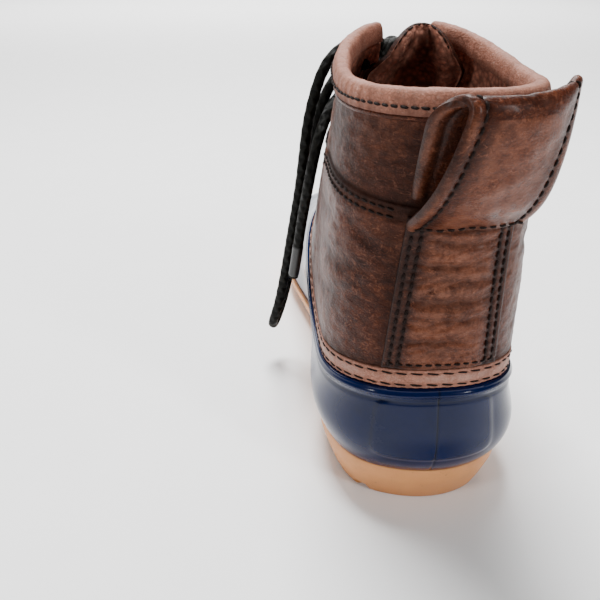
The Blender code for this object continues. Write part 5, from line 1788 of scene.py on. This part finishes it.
def make_stage():
    """A pale floor, soft light from above and behind the camera, and the camera."""
    scene = bpy.context.scene
    floor = plain_mesh("floor", [(-4, -4, 0), (4, -4, 0), (4, 4, 0), (-4, 4, 0)], [(0, 1, 2, 3)])
    paper = Finish("floor_paper", 0.9)
    grain = paper.noise(30.0, 3.0)
    paper.wire("Base Color", paper.blend(paper.span(grain, 0.3, 0.7), (0.95, 0.95, 0.95), (0.97, 0.97, 0.97)))
    floor.data.materials.append(paper.material)
    world = scene.world or bpy.data.worlds.new("studio")
    scene.world = world
    world.use_nodes = True
    sky = world.node_tree.nodes["Background"]
    sky.inputs["Color"].default_value = (1.0, 1.0, 1.0, 1.0)
    sky.inputs["Strength"].default_value = SKY_STRENGTH
    for name, place, aim, width, depth, watts in LAMPS:
        lamp = bpy.data.lights.new(name, "AREA")
        lamp.shape = "RECTANGLE"
        lamp.size, lamp.size_y, lamp.energy = width, depth, watts
        obj = bpy.data.objects.new(name, lamp)
        scene.collection.objects.link(obj)
        look_from(obj, np.array(place), np.array(aim) - np.array(place))
    turn, tilt = math.radians(CAMERA_TURN), math.radians(CAMERA_TILT)
    forward = np.array([math.sin(turn), math.cos(turn), 0.0])
    right = np.array([forward[1], -forward[0], 0.0])
    lens = bpy.data.cameras.new("camera")
    lens.sensor_width = SENSOR_WIDTH
    lens.lens = FOCAL_PIXELS * SENSOR_WIDTH / FRAME_PIXELS
    lens.clip_start = 0.01
    camera = bpy.data.objects.new("camera", lens)
    scene.collection.objects.link(camera)
    place = HEEL_PLACE - CAMERA_LEFT * right - CAMERA_BACK * forward + CAMERA_HEIGHT * UP
    look_from(camera, place, math.cos(tilt) * forward - math.sin(tilt) * UP)
    scene.camera = camera


def look_from(obj, place, direction):
    """Puts a lamp or camera at a place, looking in a direction, upright."""
    obj.location = Vector(place)
    obj.rotation_euler = Vector(direction).to_track_quat("-Z", "Y").to_euler()


# Operators, one for each piece or group of like pieces


class BOOT_OT_outsole(bpy.types.Operator):
    """Dress the outsole in gum rubber"""

    bl_idname = "boot.outsole"
    bl_label = "Outsole"

    def execute(self, context):
        make_outsole()
        return {"FINISHED"}


class BOOT_OT_shell(bpy.types.Operator):
    """Dress the shell in navy rubber and line it"""

    bl_idname = "boot.shell"
    bl_label = "Shell"

    def execute(self, context):
        make_shell(context.scene.boot_sizes)
        return {"FINISHED"}


class BOOT_OT_band(bpy.types.Operator):
    """Sew the leather band round the shell's top"""

    bl_idname = "boot.band"
    bl_label = "Band"

    def execute(self, context):
        make_band(context.scene.boot_sizes)
        return {"FINISHED"}


class BOOT_OT_shaft(bpy.types.Operator):
    """Dress the shaft in leather, line it and sew its seams"""

    bl_idname = "boot.shaft"
    bl_label = "Shaft"

    def execute(self, context):
        make_shaft(context.scene.boot_sizes)
        return {"FINISHED"}


class BOOT_OT_collar(bpy.types.Operator):
    """Pad and sew the collar roll"""

    bl_idname = "boot.collar"
    bl_label = "Collar roll"

    def execute(self, context):
        make_collar(context.scene.boot_sizes)
        return {"FINISHED"}


class BOOT_OT_heel_strip(bpy.types.Operator):
    """Sew the strip up the heel"""

    bl_idname = "boot.heel_strip"
    bl_label = "Heel strip"

    def execute(self, context):
        make_heel_strip(context.scene.boot_sizes)
        return {"FINISHED"}


class BOOT_OT_pull_loop(bpy.types.Operator):
    """Fold and sew the pull loop"""

    bl_idname = "boot.pull_loop"
    bl_label = "Pull loop"

    def execute(self, context):
        make_pull_loop(context.scene.boot_sizes)
        return {"FINISHED"}


class BOOT_OT_tongue(bpy.types.Operator):
    """Make the tongue of leather and fleece"""

    bl_idname = "boot.tongue"
    bl_label = "Tongue"

    def execute(self, context):
        make_tongue(context.scene.boot_sizes)
        return {"FINISHED"}


class BOOT_OT_insole(bpy.types.Operator):
    """Lay the insole"""

    bl_idname = "boot.insole"
    bl_label = "Insole"

    def execute(self, context):
        make_insole()
        return {"FINISHED"}


class BOOT_OT_eyelets(bpy.types.Operator):
    """Set the brass eyelets"""

    bl_idname = "boot.eyelets"
    bl_label = "Eyelets"

    def execute(self, context):
        make_eyelets()
        return {"FINISHED"}


class BOOT_OT_lace(bpy.types.Operator):
    """Thread and tie the lace"""

    bl_idname = "boot.lace"
    bl_label = "Lace"

    def execute(self, context):
        make_lace(context.scene.boot_sizes)
        return {"FINISHED"}


class BOOT_OT_stage(bpy.types.Operator):
    """Set floor, lamps and camera"""

    bl_idname = "boot.stage"
    bl_label = "Stage"

    def execute(self, context):
        make_stage()
        return {"FINISHED"}


OPERATORS = (
    BOOT_OT_outsole, BOOT_OT_shell, BOOT_OT_band, BOOT_OT_shaft, BOOT_OT_collar, BOOT_OT_heel_strip,
    BOOT_OT_pull_loop, BOOT_OT_tongue, BOOT_OT_insole, BOOT_OT_eyelets, BOOT_OT_lace, BOOT_OT_stage,
)


class BOOT_PT_pieces(bpy.types.Panel):
    """Sizes, colours and pieces of the boot"""

    bl_idname = "BOOT_PT_pieces"
    bl_label = "Duck boot"
    bl_space_type = "VIEW_3D"
    bl_region_type = "UI"
    bl_category = "Boot"

    def draw(self, context):
        for group in (context.scene.boot_sizes, context.scene.boot_colours):
            box = self.layout.box()
            for word in group.__annotations__:
                box.prop(group, word)
        for operator in OPERATORS:
            self.layout.operator(operator.bl_idname)


CLASSES = (BootSizes, BootColours, *OPERATORS, BOOT_PT_pieces)


def register():
    for cls in CLASSES:
        bpy.utils.register_class(cls)
    bpy.types.Scene.boot_sizes = PointerProperty(type=BootSizes)
    bpy.types.Scene.boot_colours = PointerProperty(type=BootColours)


def unregister():
    del bpy.types.Scene.boot_colours
    del bpy.types.Scene.boot_sizes
    for cls in reversed(CLASSES):
        bpy.utils.unregister_class(cls)


def main():
    register()
    bpy.ops.boot.outsole()
    bpy.ops.boot.shell()
    bpy.ops.boot.band()
    bpy.ops.boot.shaft()
    bpy.ops.boot.collar()
    bpy.ops.boot.heel_strip()
    bpy.ops.boot.pull_loop()
    bpy.ops.boot.tongue()
    bpy.ops.boot.insole()
    bpy.ops.boot.eyelets()
    bpy.ops.boot.lace()
    bpy.ops.boot.stage()


if __name__ == "__main__":
    main()
